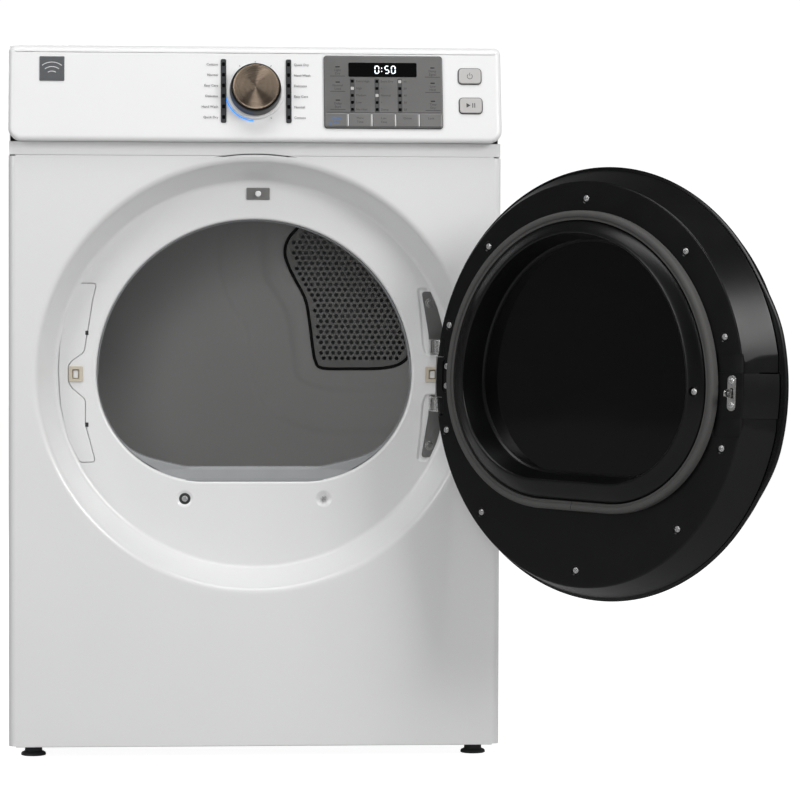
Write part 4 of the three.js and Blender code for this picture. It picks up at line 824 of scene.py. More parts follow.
def buildSwitch():
    depth = panel["shelfDepth"]
    outline = roundedBox(switchPlate["centre"], switchPlate["size"], switchPlate["radius"])
    x, z = switchPlate["centre"]
    hole = [(a + x, b + z) for a, b in oval(switchPlate["hole"], count=32)]
    front = depth - switchPlate["front"]
    mesh = plate(outline, depth - 0.2, front, 0.5, 3, [hole], frontOf).mesh("switch_plate")
    addPiece("switch_plate", mesh, ringPlace, "cabinet", zinc.material, ["door_switch"])
    button = lathe(switchPlate["plunger"], 32)
    addPiece("switch_button", button.mesh("switch_button"), ringPlace @ shift(x, front, z),
             "switch_plunger", fasciaWhite.material, ["switch_plunger"])


def buildCatch(name, x, replaced):
    depth = panel["shelfDepth"]
    outline = roundedBox((x, 0), (catch["width"], catch["height"]), 1.6)
    slot = roundedBox((x, 0), catch["slot"], 0.8)
    mesh = plate(outline, depth + catch["back"], depth - catch["front"], 0.7, 3, [slot], frontOf).mesh(name)
    addPiece(name, mesh, ringPlace, "cabinet", ivory.material, [replaced])
    outside, inside = (inset(slot, away) for away in catch["liner"])
    liner = plate(outside, depth + catch["linerBack"], depth - catch["linerFront"], 0.25, 2, [inside], frontOf)
    addPiece(name + "_liner", liner.mesh(name + "_liner"), ringPlace, "cabinet", brass.material)
    for side, word in ((-1, "left"), (1, "right")):
        outline = roundedBox((x + side * catch["bladeX"], 0), catch["blade"], 0.3)
        blade = plate(outline, depth + catch["bladeBack"], depth + catch["bladeFront"], 0.3, 2, (), frontOf)
        addPiece(f"{name}_blade_{word}", blade.mesh("blade"), ringPlace, "cabinet", chrome.material)


def buildSpareCover():
    depth = panel["shelfDepth"]
    outline = roundCorners(spareOutline, 5, 4)
    clips = [roundedBox((-235.5, z), (4.5, 6), 0.6, 2) for z in (58, -71)]
    mesh = plate(outline, depth + 3.6, depth - 0.6, 0.9, 4, (), frontOf).mesh("spare_cover")
    addPiece("spare_cover", mesh, ringPlace, "cabinet", white.material,
             ["spare_hinge_cover"])
    for i, clip in enumerate(clips):
        piece = plate(clip, depth + 2, depth - 0.9, 0.3, 2, (), frontOf).mesh("cover_clip")
        addPiece(f"cover_clip_{i + 1}", piece, ringPlace, "cabinet", moulded.material)


def barOutline(path, width):
    # the outline of a bar of one width along a path drawn in plan
    left, right = [], []
    for i, point in enumerate(path):
        here = Vector(point)
        before, after = Vector(path[max(i - 1, 0)]), Vector(path[min(i + 1, len(path) - 1)])
        along = (after - before).normalized()
        side = Vector((-along.y, along.x)) * width / 2
        left.append(tuple(here + side))
        right.append(tuple(here - side))
    return right + left[::-1]


def smoothPath(points, steps=6):
    ends = [points[0], *points, points[-1]]
    made = []
    for i in range(len(points) - 1):
        p0, p1, p2, p3 = (Vector(ends[i + k]) for k in range(4))
        for step in range(steps):
            t = step / steps
            made.append(tuple(0.5 * (2 * p1 + (p2 - p0) * t + (2 * p0 - 5 * p1 + 4 * p2 - p3) * t * t
                                     + (3 * p1 - p0 - 3 * p2 + p3) * t ** 3)))
    return [*made, points[-1]]


def inPlan(outline, z):
    return [(a, b, z) for a, b in outline]


hinge = {
    "plate": [(237, 116), (247, 56), (247, 30), (264, 30), (264, 84), (258, 104), (250, 116)],
    "plateBack": 2.8, "plateFront": 0.2, "corner": 3.5, "screw": (247.5, 101),
    "low": 30.5, "high": 50, "width": 6,
    "path": [(270, -20), (262, -18), (252, -11), (247, 2), (247, 26), (250, 51)],
    "knuckle": (3, 6.2, 7, 0.8),  # bore, end face, outside, rounding
}


def buildHinge(name, side, replaced):
    depth = panel["shelfDepth"]
    outline = [(x, side * z) for x, z in hinge["plate"]]
    if side > 0:
        outline.reverse()
    outline = roundCorners(outline, hinge["corner"], 4)
    front = depth + hinge["plateFront"]
    mesh = plate(outline, depth + hinge["plateBack"], front, 0.7, 3, (), frontOf).mesh(name)
    addPiece(name, mesh, ringPlace, "cabinet", zinc.material, [replaced])
    arm = barOutline(smoothPath(hinge["path"]), hinge["width"])
    ends = sorted((side * hinge["low"], side * hinge["high"]))
    body = plate(arm, ends[0], ends[1], 1.0, 3, (), inPlan, 1.0).mesh(name + "_arm")
    addPiece(name + "_arm", body, ringPlace, "cabinet", chrome.material)
    low, high = ends
    bore, face, outside, edge = hinge["knuckle"]
    lower = [(bore, low), (face, low), (outside, low + edge)]
    profile = lower + [(outside, high - edge), (face, high), (bore, high)]
    knuckle = lathe(profile, 48, False)
    spot = cabinetPlace.inverted() @ Vector(joints["door_hinge"]["pos_m"])
    addPiece(name + "_knuckle", knuckle.mesh("knuckle"), ringPlace @ shift(spot.x / mm, spot.y / mm, 0),
             "cabinet", chrome.material)
    x, z = hinge["screw"]
    addScrew(name + "_screw", socketHead, ringPlace, (x, front, side * z), "cabinet", zinc)


print("shelf hardware")
buildSwitch()
buildCatch("catch", -catch["x"], "latch_catch")
buildCatch("catch_spare", catch["x"], "spare_catch")
buildSpareCover()
buildHinge("hinge_upper", 1, "hinge_bracket_upper")
buildHinge("hinge_lower", -1, "hinge_bracket_lower")

fascia = {
    "halfWidth": 343, "low": 860, "high": 994, "lowerCorner": 18, "upperCorner": 9, "edge": 8, "back": 44,
    "inset": 0.6,
}
overlay = {"centre": (177.3, 3.3), "size": (164.6, 104), "radius": 4, "base": 0.2, "top": 2.6}
display = {"centre": (176.5, 35.5), "size": (96, 21), "radius": 2.5, "top": 3.2}
keyRow = {"pitch": 33, "size": (30, 19), "y": -37.6, "radius": 1.2, "top": 3.7}
power = {"centre": (298.6, 27.4), "size": (31, 21.5), "radius": 4.5, "top": 3}
start = {"centre": (299.4, -15.4), "size": (31, 21.5), "radius": 4.5, "top": 3}
leds = {"x": (133.9, 168.3, 200.3), "top": 18.6, "pitch": 10.2, "size": 4.2, "on": (1, 2, 0)}
lightStrip = {"x": 45.3, "y": 4.1, "size": (7.6, 92), "radius": 2.2, "top": 1.6, "marks": 6}
badge = {"centre": (-283, 34.8), "size": (34.4, 35.2), "radius": 1.2, "top": 1.2}
markWidth = 0.55


def buildFascia():
    origin = (cabinetPlace.inverted() @ consolePlace).translation / mm
    rise = math.tan(math.atan2(knobAxis.z, -knobAxis.y))
    centre = (0, (fascia["low"] + fascia["high"]) / 2)
    size = (2 * fascia["halfWidth"], fascia["high"] - fascia["low"])
    outline = roundedBox(centre, size, fascia["lowerCorner"], 10, fascia["upperCorner"])
    edge = fascia["edge"]

    def leaning(points, back):
        return [(a, origin.y + (b - origin.z) * rise + back, b) for a, b in points]

    rings = [frontOf(inset(outline, 3), fascia["back"]), frontOf(outline, fascia["back"])]
    for step in range(9):
        turn = step / 8 * math.pi / 2
        away, back = edge * (1 - math.cos(turn)), edge * (1 - math.sin(turn))
        rings.append(leaning(inset(outline, away), back + fascia["inset"]))
    rings.append(leaning(inset(outline, edge + 2), fascia["inset"]))
    shape = Shape().loft(rings).fill(rings[-1])
    shape.loft([frontOf(inset(outline, 3), fascia["back"]), frontOf(inset(outline, 3), fascia["back"] - 20)])
    mesh = shape.mesh("console_shell")
    addPiece("console_shell", mesh, cabinetPlace, "cabinet", fasciaWhite.material,
             ["console_fascia"], 50)


def consolePlate(name, centre, size, radius, base, top, finish, body="cabinet", replaced=(), edge=0.5,
                 holes=()):
    outline = roundedBox(centre, size, radius)
    mesh = plate(outline, base, top, edge, 3, holes).mesh(name)
    return addPiece(name, mesh, consolePlace, body, finish.material, replaced)


def ringPlate(name, centre, size, radius, base, top, width, finish, body="cabinet"):
    outer = roundedBox(centre, size, radius)
    inner = inset(outer, width)
    mesh = plate(outer, base, top, 0.15, 2, [inner]).mesh(name)
    return addPiece(name, mesh, consolePlace, body, finish.material)


def printed(name, outlines, height, finish, body="cabinet", thickness=0.12):
    shape = Shape()
    for outline in outlines:
        rings = [onFace(outline, height - 0.2), onFace(outline, height + thickness)]
        shape.loft(rings).fill(rings[1])
    mesh = shape.mesh(name)
    return addPiece(name, mesh, consolePlace, body, finish.material, (), 30, False)


def bar(x, y, width, height):
    return roundedBox((x, y), (width, height), min(width, height) * 0.2, 2)


def wordOutline(text, size, spot, height, align="CENTER"):
    # a short plain legend as a flat mesh standing a little proud
    curve = bpy.data.curves.new("legend", "FONT")
    curve.body = text
    curve.size = size * mm
    curve.extrude = 0.06 * mm
    curve.align_x = align
    curve.align_y = "CENTER"
    curve.resolution_u = 2
    holder = bpy.data.objects.new("legend", curve)
    bpy.context.scene.collection.objects.link(holder)
    bpy.context.view_layer.update()
    mesh = bpy.data.meshes.new_from_object(holder.evaluated_get(bpy.context.evaluated_depsgraph_get()))
    bpy.data.objects.remove(holder)
    mesh.materials.clear()
    return mesh, shift(spot[0], spot[1], height + 0.06)


def legends(name, words, height, finish, body="cabinet"):
    parts = [wordOutline(text, size, spot, height, align) for text, size, spot, align in words]
    mesh = joinMeshes(name, parts)
    return addPiece(name, mesh, consolePlace, body, finish.material, (), 30, False)


def digitOutlines(pattern, x, y, width, height, thick):
    # the lit bars of a seven-bar digit
    half = height / 2
    spots = {
        "a": (0, half, 1), "g": (0, 0, 1), "d": (0, -half, 1),
        "f": (-width / 2, half / 2, 0), "b": (width / 2, half / 2, 0),
        "e": (-width / 2, -half / 2, 0), "c": (width / 2, -half / 2, 0),
    }
    made = []
    for letter in pattern:
        dx, dy, flat = spots[letter]
        length = (width if flat else half) - thick * 1.15
        size = (length, thick) if flat else (thick, length)
        made.append(roundedBox((x + dx, y + dy), size, thick * 0.35, 2))
    return made


def arcOutline(centre, radius, width, start, end, steps=40):
    outer, inner = [], []
    for i in range(steps + 1):
        angle = math.radians(start + (end - start) * i / steps)
        c, s = math.cos(angle), math.sin(angle)
        outer.append((centre[0] + (radius + width / 2) * c, centre[1] + (radius + width / 2) * s))
        inner.append((centre[0] + (radius - width / 2) * c, centre[1] + (radius - width / 2) * s))
    return outer + inner[::-1]


def buildOverlay():
    consolePlate("overlay_film", overlay["centre"], overlay["size"], overlay["radius"], overlay["base"],
                 overlay["top"], film, replaced=["overlay_panel"])
    ringPlate("overlay_outline", overlay["centre"], (overlay["size"][0] + 1.4, overlay["size"][1] + 1.4),
              4.6, 0.1, 2.0, 1.5, moulded)
    consolePlate("display_glass", display["centre"], display["size"], display["radius"], 1.5, display["top"],
                 panelGlass,
                 replaced=["display_lens"])
    digits = [("abcdef", 168.5), ("acdfg", 182.5), ("abcdef", 191.5)]
    outlines = []
    for pattern, x in digits:
        outlines += digitOutlines(pattern, x, display["centre"][1], 5.2, 10.4, 1.15)
    outlines += [roundedBox((175.3, display["centre"][1] + dy), (1.3, 1.3), 0.4, 2) for dy in (2.4, -2.4)]
    printed("display_digits", outlines, display["top"], digitGlow)
    panels, squares, lit = [], [], []
    for column, x in enumerate(leds["x"]):
        middle = leds["top"] - 2 * leds["pitch"]
        panels.append(roundedBox((x, middle), (6.6, 4 * leds["pitch"] + 8), 1.2, 3))
        for row in range(5):
            spot = (x, leds["top"] - row * leds["pitch"])
            square = roundedBox(spot, (leds["size"], leds["size"]), 0.6, 2)
            (lit if row == leds["on"][column] else squares).append(square)
    printed("lamp_columns", panels, overlay["top"], inkDark)
    printed("lamp_windows", squares, overlay["top"] + 0.12, panelGlass)
    printed("lamp_lit", lit, overlay["top"] + 0.12, buttonGrey)
    words = []
    columns = [
        ("Extra High", "High", "Medium", "Low", "No Heat"), ("Extra Dry", "•", "Normal", "•", "Damp"),
        ("60", "50", "40", "30", "20"),
    ]
    for column, labels in enumerate(columns):
        for row, label in enumerate(labels):
            spot = (leds["x"][column] + 5.2, leds["top"] - row * leds["pitch"])
            words.append((label, 4.4, spot, "LEFT"))
    sides = [(113.6, (26.1, 3.9, -22.3)), (246.3, (25.4, 3.2, -23))]
    bars, dashes = [], []
    labels = iter([("Light", "Dry"), ("Normal", "Load"), ("Delay", "Start"), ("Damp", "Signal"),
                   ("Low", "Heat"), ("Time", "Dry")])
    for x, heights in sides:
        for y in heights:
            bars.append(bar(x, y, 21, markWidth * 1.4))
            dashes.append(bar(x, y + 13.4, 6, 1.2))
            first, second = next(labels)
            words += [(first, 4.6, (x, y + 8.6), "CENTER"), (second, 4.6, (x, y + 3.6), "CENTER")]
    printed("side_key_lines", bars + [bar(overlay["centre"][0], -26.4, 158, markWidth)], overlay["top"],
            inkDark)
    printed("side_key_lamps", dashes, overlay["top"], panelGlass)
    legends("overlay_legends", words, overlay["top"], inkDark)


def buildKeys():
    separators = []
    names = [("Wrinkle", "Care"), ("More", "Time"), ("Less", "Time"), ("Chime", ""), ("Lock", "")]
    for i in range(5):
        x = overlay["centre"][0] + (i - 2) * keyRow["pitch"]
        name = f"key_{i + 1}"
        consolePlate(f"{name}_cap", (x, keyRow["y"]), keyRow["size"], keyRow["radius"], 0.6, keyRow["top"],
                     keyFilm,
                     name, [name], 0.6)
        words = [(names[i][0], 4.4, (x, keyRow["y"] + 2.6), "CENTER")]
        if names[i][1]:
            words.append((names[i][1], 4.4, (x, keyRow["y"] - 3.0), "CENTER"))
        legends(f"{name}_legend", words, keyRow["top"], inkBlue if i == 0 else inkDark, name)
        if i:
            separators.append(bar(x - keyRow["pitch"] / 2, keyRow["y"], 1.5, keyRow["size"][1] - 2))
    printed("key_separators", separators, overlay["top"] + 0.3, inkPale)
    printed("first_key_mark", [arcOutline((103.2, -43.5), 1.6, 0.6, 0, 300, 14)], keyRow["top"], inkBlue,
            "key_1")


def buildButtons():
    for name, values in (("power_button", power), ("start_button", start)):
        consolePlate(f"{name}_cap", values["centre"], values["size"], values["radius"], 0.4, values["top"],
                     buttonGrey,
                     name, [name], 1.0)
        around = (values["size"][0] + 2.2, values["size"][1] + 2.2)
        ringPlate(f"{name}_ring", values["centre"], around, values["radius"] + 1.1, -0.4, 1.1, 0.9, moulded)
    x, y = power["centre"]
    icon = [arcOutline((x, y - 0.6), 3.6, 0.75, 125, 415), bar(x, y + 2.6, 0.75, 4.6)]
    printed("power_icon", icon, power["top"], inkDark, "power_button")
    x, y = start["centre"]
    triangle = [(x - 6.2, y - 3.4), (x - 0.4, y), (x - 6.2, y + 3.4)]
    icon = [roundCorners(triangle, 0.5, 2), bar(x + 2.6, y, 1.2, 6.6), bar(x + 5.4, y, 1.2, 6.6)]
    printed("start_icon", icon, start["top"], inkDark, "start_button")


def buildStrips():
    for side, name in ((-1, "light_strip_left"), (1, "light_strip_right")):
        centre = (side * lightStrip["x"], lightStrip["y"])
        consolePlate(f"{name}_bar", centre, lightStrip["size"], lightStrip["radius"], -0.3,
                     lightStrip["top"], stripDark,
                     replaced=[name], edge=0.5)
        pitch = lightStrip["size"][1] / lightStrip["marks"]
        marks = [roundedBox((centre[0], centre[1] + (i - (lightStrip["marks"] - 1) / 2) * pitch), (4.2, 5.4),
                            1.2, 3)
                 for i in range(lightStrip["marks"])]
        printed(f"{name}_marks", marks, lightStrip["top"], panelGlass)
    words = []
    rows = ["Cottons", "Normal", "Easy Care", "Delicates", "Hand Wash", "Quick Dry"]
    for side, align in ((-1, "RIGHT"), (1, "LEFT")):
        pitch = lightStrip["size"][1] / lightStrip["marks"]
        for i, label in enumerate(rows):
            y = lightStrip["y"] + ((lightStrip["marks"] - 1) / 2 - i) * pitch
            words.append((label if side < 0 else rows[-1 - i], 4.8, (side * (lightStrip["x"] + 7.5), y),
                          align))
    legends("cycle_legends", words, 0.35, inkDark)


def buildBadge():
    consolePlate("plain_badge", badge["centre"], badge["size"], badge["radius"], -0.4, badge["top"],
                 badgeGrey,
                 edge=0.5)
    x, y = badge["centre"]
    waves = [arcOutline((x, y - 13), 9 + 6.5 * i, 1.0, 52, 128, 24) for i in range(3)]
    printed("badge_mark", waves, badge["top"], inkPale)


knob = {
    "collar": [(30, 0.5), (39.6, 0.5), (39.6, 2.8), (39.0, 3.7), (37.8, 4.1), (36.2, 4.1), (34, 3.4)],
    "ring": [
        (20, 4.6), (34.6, 4.6), (35.4, 5.2), (36, 6.4), (35.9, 12), (35.2, 20), (34.8, 23.0), (34.2, 24.4),
        (33.2, 25.2), (32.7, 25.2), (32.6, 24.4), (28, 24.2),
    ],
    "cap": [
        (32.4, 23.6), (32.4, 25.2), (31.9, 25.9), (31.0, 26.1), (30.4, 25.9), (30.0, 25.5), (26, 25.75),
        (20, 26.05), (14, 26.3), (8, 26.45), (3, 26.5), (0.6, 26.5),
    ],
    "arc": (41.8, 1.7, 180, 266), "tickRadius": 43.6, "tickSize": (2.6, 0.6), "printHeight": 0.5,
}


def buildKnob():
    mesh = lathe(knob["collar"], 160, False).mesh("knob_collar")
    addPiece("knob_collar", mesh, knobPlace, "cabinet", fasciaWhite.material)
    mesh = lathe(knob["ring"], 192, False).mesh("knob_ring")
    addPiece("knob_ring", mesh, knobPlace, "knob", doorBlack.material, ["knob"])
    mesh = lathe(knob["cap"], 192, False).mesh("knob_cap")
    addPiece("knob_cap", mesh, knobPlace, "knob", bronze.material)
    arc = arcOutline(knobCentre, *knob["arc"])
    printed("dial_arc", [arc], knob["printHeight"], blueGlow)
    ticks = []
    for degrees in range(0, 360, 30):
        # marks stand above and below the knob, and none stands on the lit arc
        c, s = math.cos(math.radians(degrees)), math.sin(math.radians(degrees))
        if abs(c) >= 0.55 or 175 < degrees < 275:
            continue
        x, y = knobCentre[0] + knob["tickRadius"] * c, knobCentre[1] + knob["tickRadius"] * s
        ticks.append([(x + a * c - b * s, y + a * s + b * c) for a, b in bar(0, 0, *knob["tickSize"])])
    printed("dial_ticks", ticks, knob["printHeight"], inkDark)


print("console")
buildFascia()
buildOverlay()
buildKeys()
buildButtons()
buildStrips()
buildBadge()
buildKnob()

door = {
    "face": 36, "hingeSqueeze": 0.955, "rimBack": -11, "edgeSide": 264, "edgeTop": 271.5, "rim": 287,
    "wall": 2.6, "edgeRound": 3.2,
    "seal": (224, 232, 168), "sealWidth": 13, "sealTop": 13.4,
    "bowlRim": (190, 205, 131), "bowlTop": 58, "bowlScrew": (-198, 0),
    "bowlDimple": [(7, 62), (6.4, 54.6), (5.8, 53.4)],
    "windowBack": 4, "windowEdge": 0.6, "windowDome": 0.9,
     "bowlBase": (181, 195, 121), "window": 19,
    "bezel": 291.6, "bezelBack": -13, "bezelFront": -45, "bezelInner": 239, "taper": 22,
    "pull": 299, "pullFlat": 14, "pullFade": 19, "glass": 238.4,
}
plateScrews = [(248, angle) for angle in (90, 270, 46.9, 133.1, 226.9, 313.1, 163.1, 196.9, 16.9, 343.1)]


def pullOutline(radius, reach, count=288):
    # a circle that swells out into a grip on the free side
    def reachAt(angle):
        away = abs(math.degrees(math.atan2(math.sin(angle), -math.cos(angle))))
        return radius + (reach - radius) * (1 - ease((away - door["pullFlat"]) / door["pullFade"]))
    return polar(reachAt, count)


def buildDoorPlate():
    face, wall, turnRadius = door["face"], door["wall"], door["edgeRound"]
    opening = inset(archOutline(*door["seal"]), 20)
    squeeze = door["hingeSqueeze"]
    edge = [(a * squeeze if a > 0 else a, b) for a, b in oval(door["edgeSide"], door["edgeTop"])]
    rim = oval(door["rim"])
    rise = face - door["rimBack"]
    rings = [frontOf(opening, face), frontOf(inset(edge, turnRadius * 2), face)]
    lean = math.atan2(door["rim"] - door["edgeTop"], rise)
    for step in range(7):
        turn = step / 6 * (math.pi / 2 - lean)
        drop = turnRadius * (1 - math.cos(turn))
        rings.append(frontOf(inset(edge, turnRadius * 0.8 * (1 - math.sin(turn) / math.cos(lean))),
                             face - drop))
    rings += [frontOf(between(edge, rim, 0.5), face - rise * 0.5 - 0.6),
              frontOf(between(edge, rim, 0.965), door["rimBack"] + 2.0)]
    rings += [frontOf(rim, door["rimBack"] + 0.9), frontOf(rim, door["rimBack"])]
    rings += [frontOf(inset(rim, wall), door["rimBack"]),
              frontOf(inset(between(edge, rim, 0.5), wall), face - rise * 0.5)]
    rings += [frontOf(inset(edge, wall + 1), face - wall), frontOf(opening, face - wall)]
    mesh = Shape().loft(rings, joined=True).mesh("door_plate_shell")
    cutters = []
    for radius, angle in plateScrews:
        x, z = radius * math.cos(math.radians(angle)), radius * math.sin(math.radians(angle))
        x *= door["edgeSide"] / door["edgeTop"]
        rows = [frontOf([(a + x, b + z) for a, b in oval(r, count=28)], y)
                for r, y in [(7.6, face + 1), (7.2, face - 0.3), (6.0, face - 1.3), (5.6, face - 1.5)]]
        cutters.append(Shape().loft(rows).fill(rows[0]).fill(rows[-1]).mesh("cutter"))
    for low, high in ((26, 51), (-57, -32)):
        # two shallow grooves across the free side and down the cone
        slope = rise / (door["rim"] - door["edgeSide"])
        rows = []
        for x, deep in ((-215, 0), (-216, 0.9), (-218, 1.3), (-240, 1.3), (-258, 1.3), (-262, 1.5),
                        (-268, 2), (-290, 2)):
            floor = face - max(-x - 261, 0) * slope - deep
            rows.append([(x, floor, low), (x, floor, high), (x, floor + 30, high), (x, floor + 30, low)])
        cutters.append(Shape().loft(rows).fill(rows[0]).fill(rows[-1]).mesh("cutter"))
    for side in (-1, 1):
        outline = roundedBox((276, side * 40.3), (78, 26), 4, 3)
        cutters.append(prism(outline, -60, 70, frontOf))
    pill = roundedBox((233, 1.9), (13.5, 46), 6.6, 8)
    cutters.append(prism(pill, face - 1.3, face + 5, frontOf))
    mesh = carve(mesh, cutters)
    addPiece("door_plate_shell", mesh, doorPlace, "door", doorBlack.material,
             ["door_plate"], 32)
    screws = [(x * math.cos(math.radians(a)) * door["edgeSide"] / door["edgeTop"],
               x * math.sin(math.radians(a)), face - 1.4)
              for x, a in plateScrews]
    screws += [(233, 15.2, face - 1.2), (233, -11.5, face - 1.2)]
    for i, (x, z, y) in enumerate(screws):
        addScrew(f"door_screw_{i + 1}", crossHead, doorPlace, (x, y, z), "door", screwSteel, -1, 0.7 * i)


def ringed(outline, profile):
    # sweeps (amount moved inward, y) points round an outline
    return [frontOf(inset(outline, away), y) for away, y in profile]


def buildSeal():
    outline = archOutline(*door["seal"], count=288)
    face, top = door["face"], door["sealTop"]
    profile = [
        (0.6, 0.1), (0, 1.5), (0, top - 5), (0.5, top - 2.4), (1.8, top - 0.8), (3.6, top - 0.1), (5.4, top),
        (7.4, top - 0.3), (8.6, top - 1.2), (9.2, top - 2.4), (10.0, top - 2.7), (11.2, top - 2.2),
        (12.4, top - 2.4), (13, top - 3.6), (13, 0.1),
    ]
    rings = ringed(outline, [(away, face + rise) for away, rise in profile])
    mesh = Shape().loft(rings, joined=True).mesh("door_gasket")
    groove = prism([(0.8, -185), (1.5, -185), (1.5, -140), (0.8, -140)], face + 9.5, face + 20, frontOf)
    mesh = carve(mesh, [groove])
    addPiece("door_gasket", mesh, doorPlace, "door", sealGrey.material, ["door_seal"], 42)


def buildBowl():
    gasketInside = inset(archOutline(*door["seal"]), door["sealWidth"])
    rimEdge, base = archOutline(*door["bowlRim"]), archOutline(*door["bowlBase"])
    top, face = door["bowlTop"], door["face"]
    rings = [frontOf(gasketInside, face), frontOf(inset(gasketInside, 0.3), face + 8)]
    for share, rise in ((0.10, 11.6), (0.3, 14.8), (0.55, 17.8), (0.8, 20.3), (0.93, 21.4)):
        rings.append(frontOf(between(gasketInside, rimEdge, share), face + rise))
    for away, down in ((0, 0.25), (1.2, 0), (2.4, 0.3), (3.3, 1.1), (3.8, 2.2)):
        rings.append(frontOf(inset(rimEdge, away), top - down))
    rings.append(frontOf(inset(between(rimEdge, base, 0.5), 2.4), (top + door["window"]) / 2))
    rings.append(frontOf(inset(base, 0), door["window"] + 3))
    rings.append(frontOf(inset(base, 2), door["window"] + 1))
    rings.append(frontOf(inset(base, 4), door["window"] + 0.8))
    rings.append(frontOf(inset(base, 4), door["window"] - 8))
    rings.append(frontOf(gasketInside, door["window"] - 8))
    mesh = Shape().loft(rings, joined=True).mesh("door_bowl_shell")
    cutters = []
    for x, z in (door["bowlScrew"],):
        rows = [frontOf([(a + x, b + z) for a, b in oval(r, count=28)], y) for r, y in door["bowlDimple"]]
        cutters.append(Shape().loft(rows).fill(rows[0]).fill(rows[-1]).mesh("cutter"))
    mesh = carve(mesh, cutters)
    addPiece("door_bowl_shell", mesh, doorPlace, "door", doorBlack.material, ["door_bowl"],
             34)
    x, z = door["bowlScrew"]
    addScrew("bowl_screw", crossHead, doorPlace, (x, 53.6, z), "door", screwSteel, -1, 0.3)
    pane = inset(base, 2.2)
    edge = door["window"] + door["windowEdge"]
    rings = [frontOf(pane, door["window"] - door["windowBack"]), frontOf(pane, edge)]
    for step in range(1, 13):
        share = step / 12
        rise = door["windowDome"] * (1 - (1 - share) ** 2)
        rings.append(frontOf(inset(between(pane, [(0, 30)] * len(pane), share * 0.995), 0), edge + rise))
    shape = Shape().loft(rings).fill(rings[-1]).fill(rings[0])
    addPiece("door_window_pane", shape.mesh("door_window_pane"), doorPlace, "door", windowGlass.material,
             ["door_window"], 50)


def buildBezel():
    back, front, taper = door["bezelBack"], door["bezelFront"], door["taper"]
    depth = back - front
    profile = [(5, back + 0.8), (1.2, back), (0.2, back - 0.6), (0, back - 1.6)]
    slope = taper * 0.72 / (depth - 6)
    for ridge in range(4):
        # fine stepped ridges round the edge
        y = back - 3.2 - 3.6 * ridge
        away = (back - 1.6 - y) * slope
        profile += [(away, y), (away + 0.2, y - 0.6), (away + 1.3, y - 1.1), (away + 1.0, y - 2.2)]
    last = back - 3.2 - 3.6 * 4
    start = (back - 1.6 - last) * slope
    for step in range(9):
        turn = step / 8 * math.pi / 2
        profile.append((start + (taper + 3 - start) * (1 - math.cos(turn)),
                        last - (last - front) * math.sin(turn)))
    profile += [(taper + 10, front)]
    rings = []
    for away, y in profile:
        lift = 1 - 1.6 * min(max(back - y, 0) / depth, 1)
        reach = door["bezel"] + (door["pull"] - door["bezel"]) * lift
        rings.append(frontOf(pullOutline(door["bezel"] - away, reach - away), y))
    inner = oval(door["bezelInner"], count=288)
    rings += [frontOf(inset(inner, -4), front), frontOf(inset(inner, -1), front + 0.4),
              frontOf(inner, front + 1.4)]
    rings += [frontOf(inner, front + 9), frontOf(inner, back + 0.8)]
    mesh = Shape().loft(rings, joined=True).mesh("door_bezel_shell")
    addPiece("door_bezel_shell", mesh, doorPlace, "door", frameBlack.material,
             ["door_bezel"], 28)
    glass = door["glass"]
    profile = [(glass - 3, front + 5), (glass, front + 5), (glass, front + 0.9), (glass - 0.8, front + 0.2)]
    for step in range(1, 17):
        share = step / 16
        radius = (glass - 0.8) * (1 - share) + 0.4 * share
        profile.append((radius, front + 0.2 - 4.9 * (1 - (radius / glass) ** 2)))
    mesh = lathe(profile, 240).mesh("door_front_glass")
    addPiece("door_front_glass", mesh, doorPlace, "door", panelGlass.material, ["door_glass"],
             40)


def buildStriker():
    face = door["face"]
    centre = (-245, 0)
    outline = roundedBox(centre, (13, 46), 6.2, 8)
    slot = roundedBox(centre, (5, 13), 1.0, 3)
    mesh = plate(outline, face, face + 1.6, 0.5, 3, [slot], frontOf).mesh("striker_plate")
    addPiece("striker_plate", mesh, doorPlace, "door", zinc.material, ["latch_striker"])
    side = roundCorners([(face - 1, -5.4), (face + 12, -5.4), (face + 17.4, -3.2), (face + 17.4, 3.2),
                         (face + 12, 5.4), (face - 1, 5.4)], 2.2, 4)
    eye = [(face + 11, 0)]
    hole = [(eye[0][0] + a, b) for a, b in oval(2.6, count=24)]
    area = sum(a[0] * b[1] - b[0] * a[1] for a, b in zip(side, side[1:] + side[:1]))
    side = side if area > 0 else side[::-1]

    def edgewise(points, x):
        return [(x, a, b) for a, b in points]

    mesh = plate(side, centre[0] - 1.3, centre[0] + 1.3, 0.4, 3, [hole], edgewise,
                 0.4).mesh("striker_tongue")
    addPiece("striker_tongue", mesh, doorPlace, "door", chrome.material)
    for i, z in enumerate((15.5, -15.5)):
        addScrew(f"striker_screw_{i + 1}", crossHead, doorPlace, (centre[0], face + 1.2, z), "door",
                 screwSteel, -1, 0.5 + i)


print("door")
buildDoorPlate()
buildSeal()
buildBowl()
buildBezel()
buildStriker()

drumBody = {"radius": 324.4, "neck": 316.8, "front": 96.4, "back": 644.6, "reach": 24, "wall": 1.2}
rearWall = {
    "y": 649.2, "radius": 312, "rings": 78, "sides": 216, "sheet": 0.6,
    "channel": [(25, 262), (0, 190), (2, 112), (38, 50), (46, 0), (60, -60), (130, -90), (230, -88)],
    "channelBand": (38, 9, 3.4), "gasketBand": (17, 8, 2.4), "rimBand": (285, 12, 2.6), "hole": 5,
}
grilleEdge = [
    (86.9, 200.5), (70, 180), (64.6, 158.3), (71, 136), (81.6, 114.4), (93, 94), (99.8, 74.2), (105, 40),
    (108.8, 9.4),
    (113, -12), (123.8, -23.8), (170, -25), (222.1, -23.6), (252, -14), (266.4, 9.7), (270, 60), (260, 120),
    (238, 168), (200, 210), (150, 236), (110, 230),
]


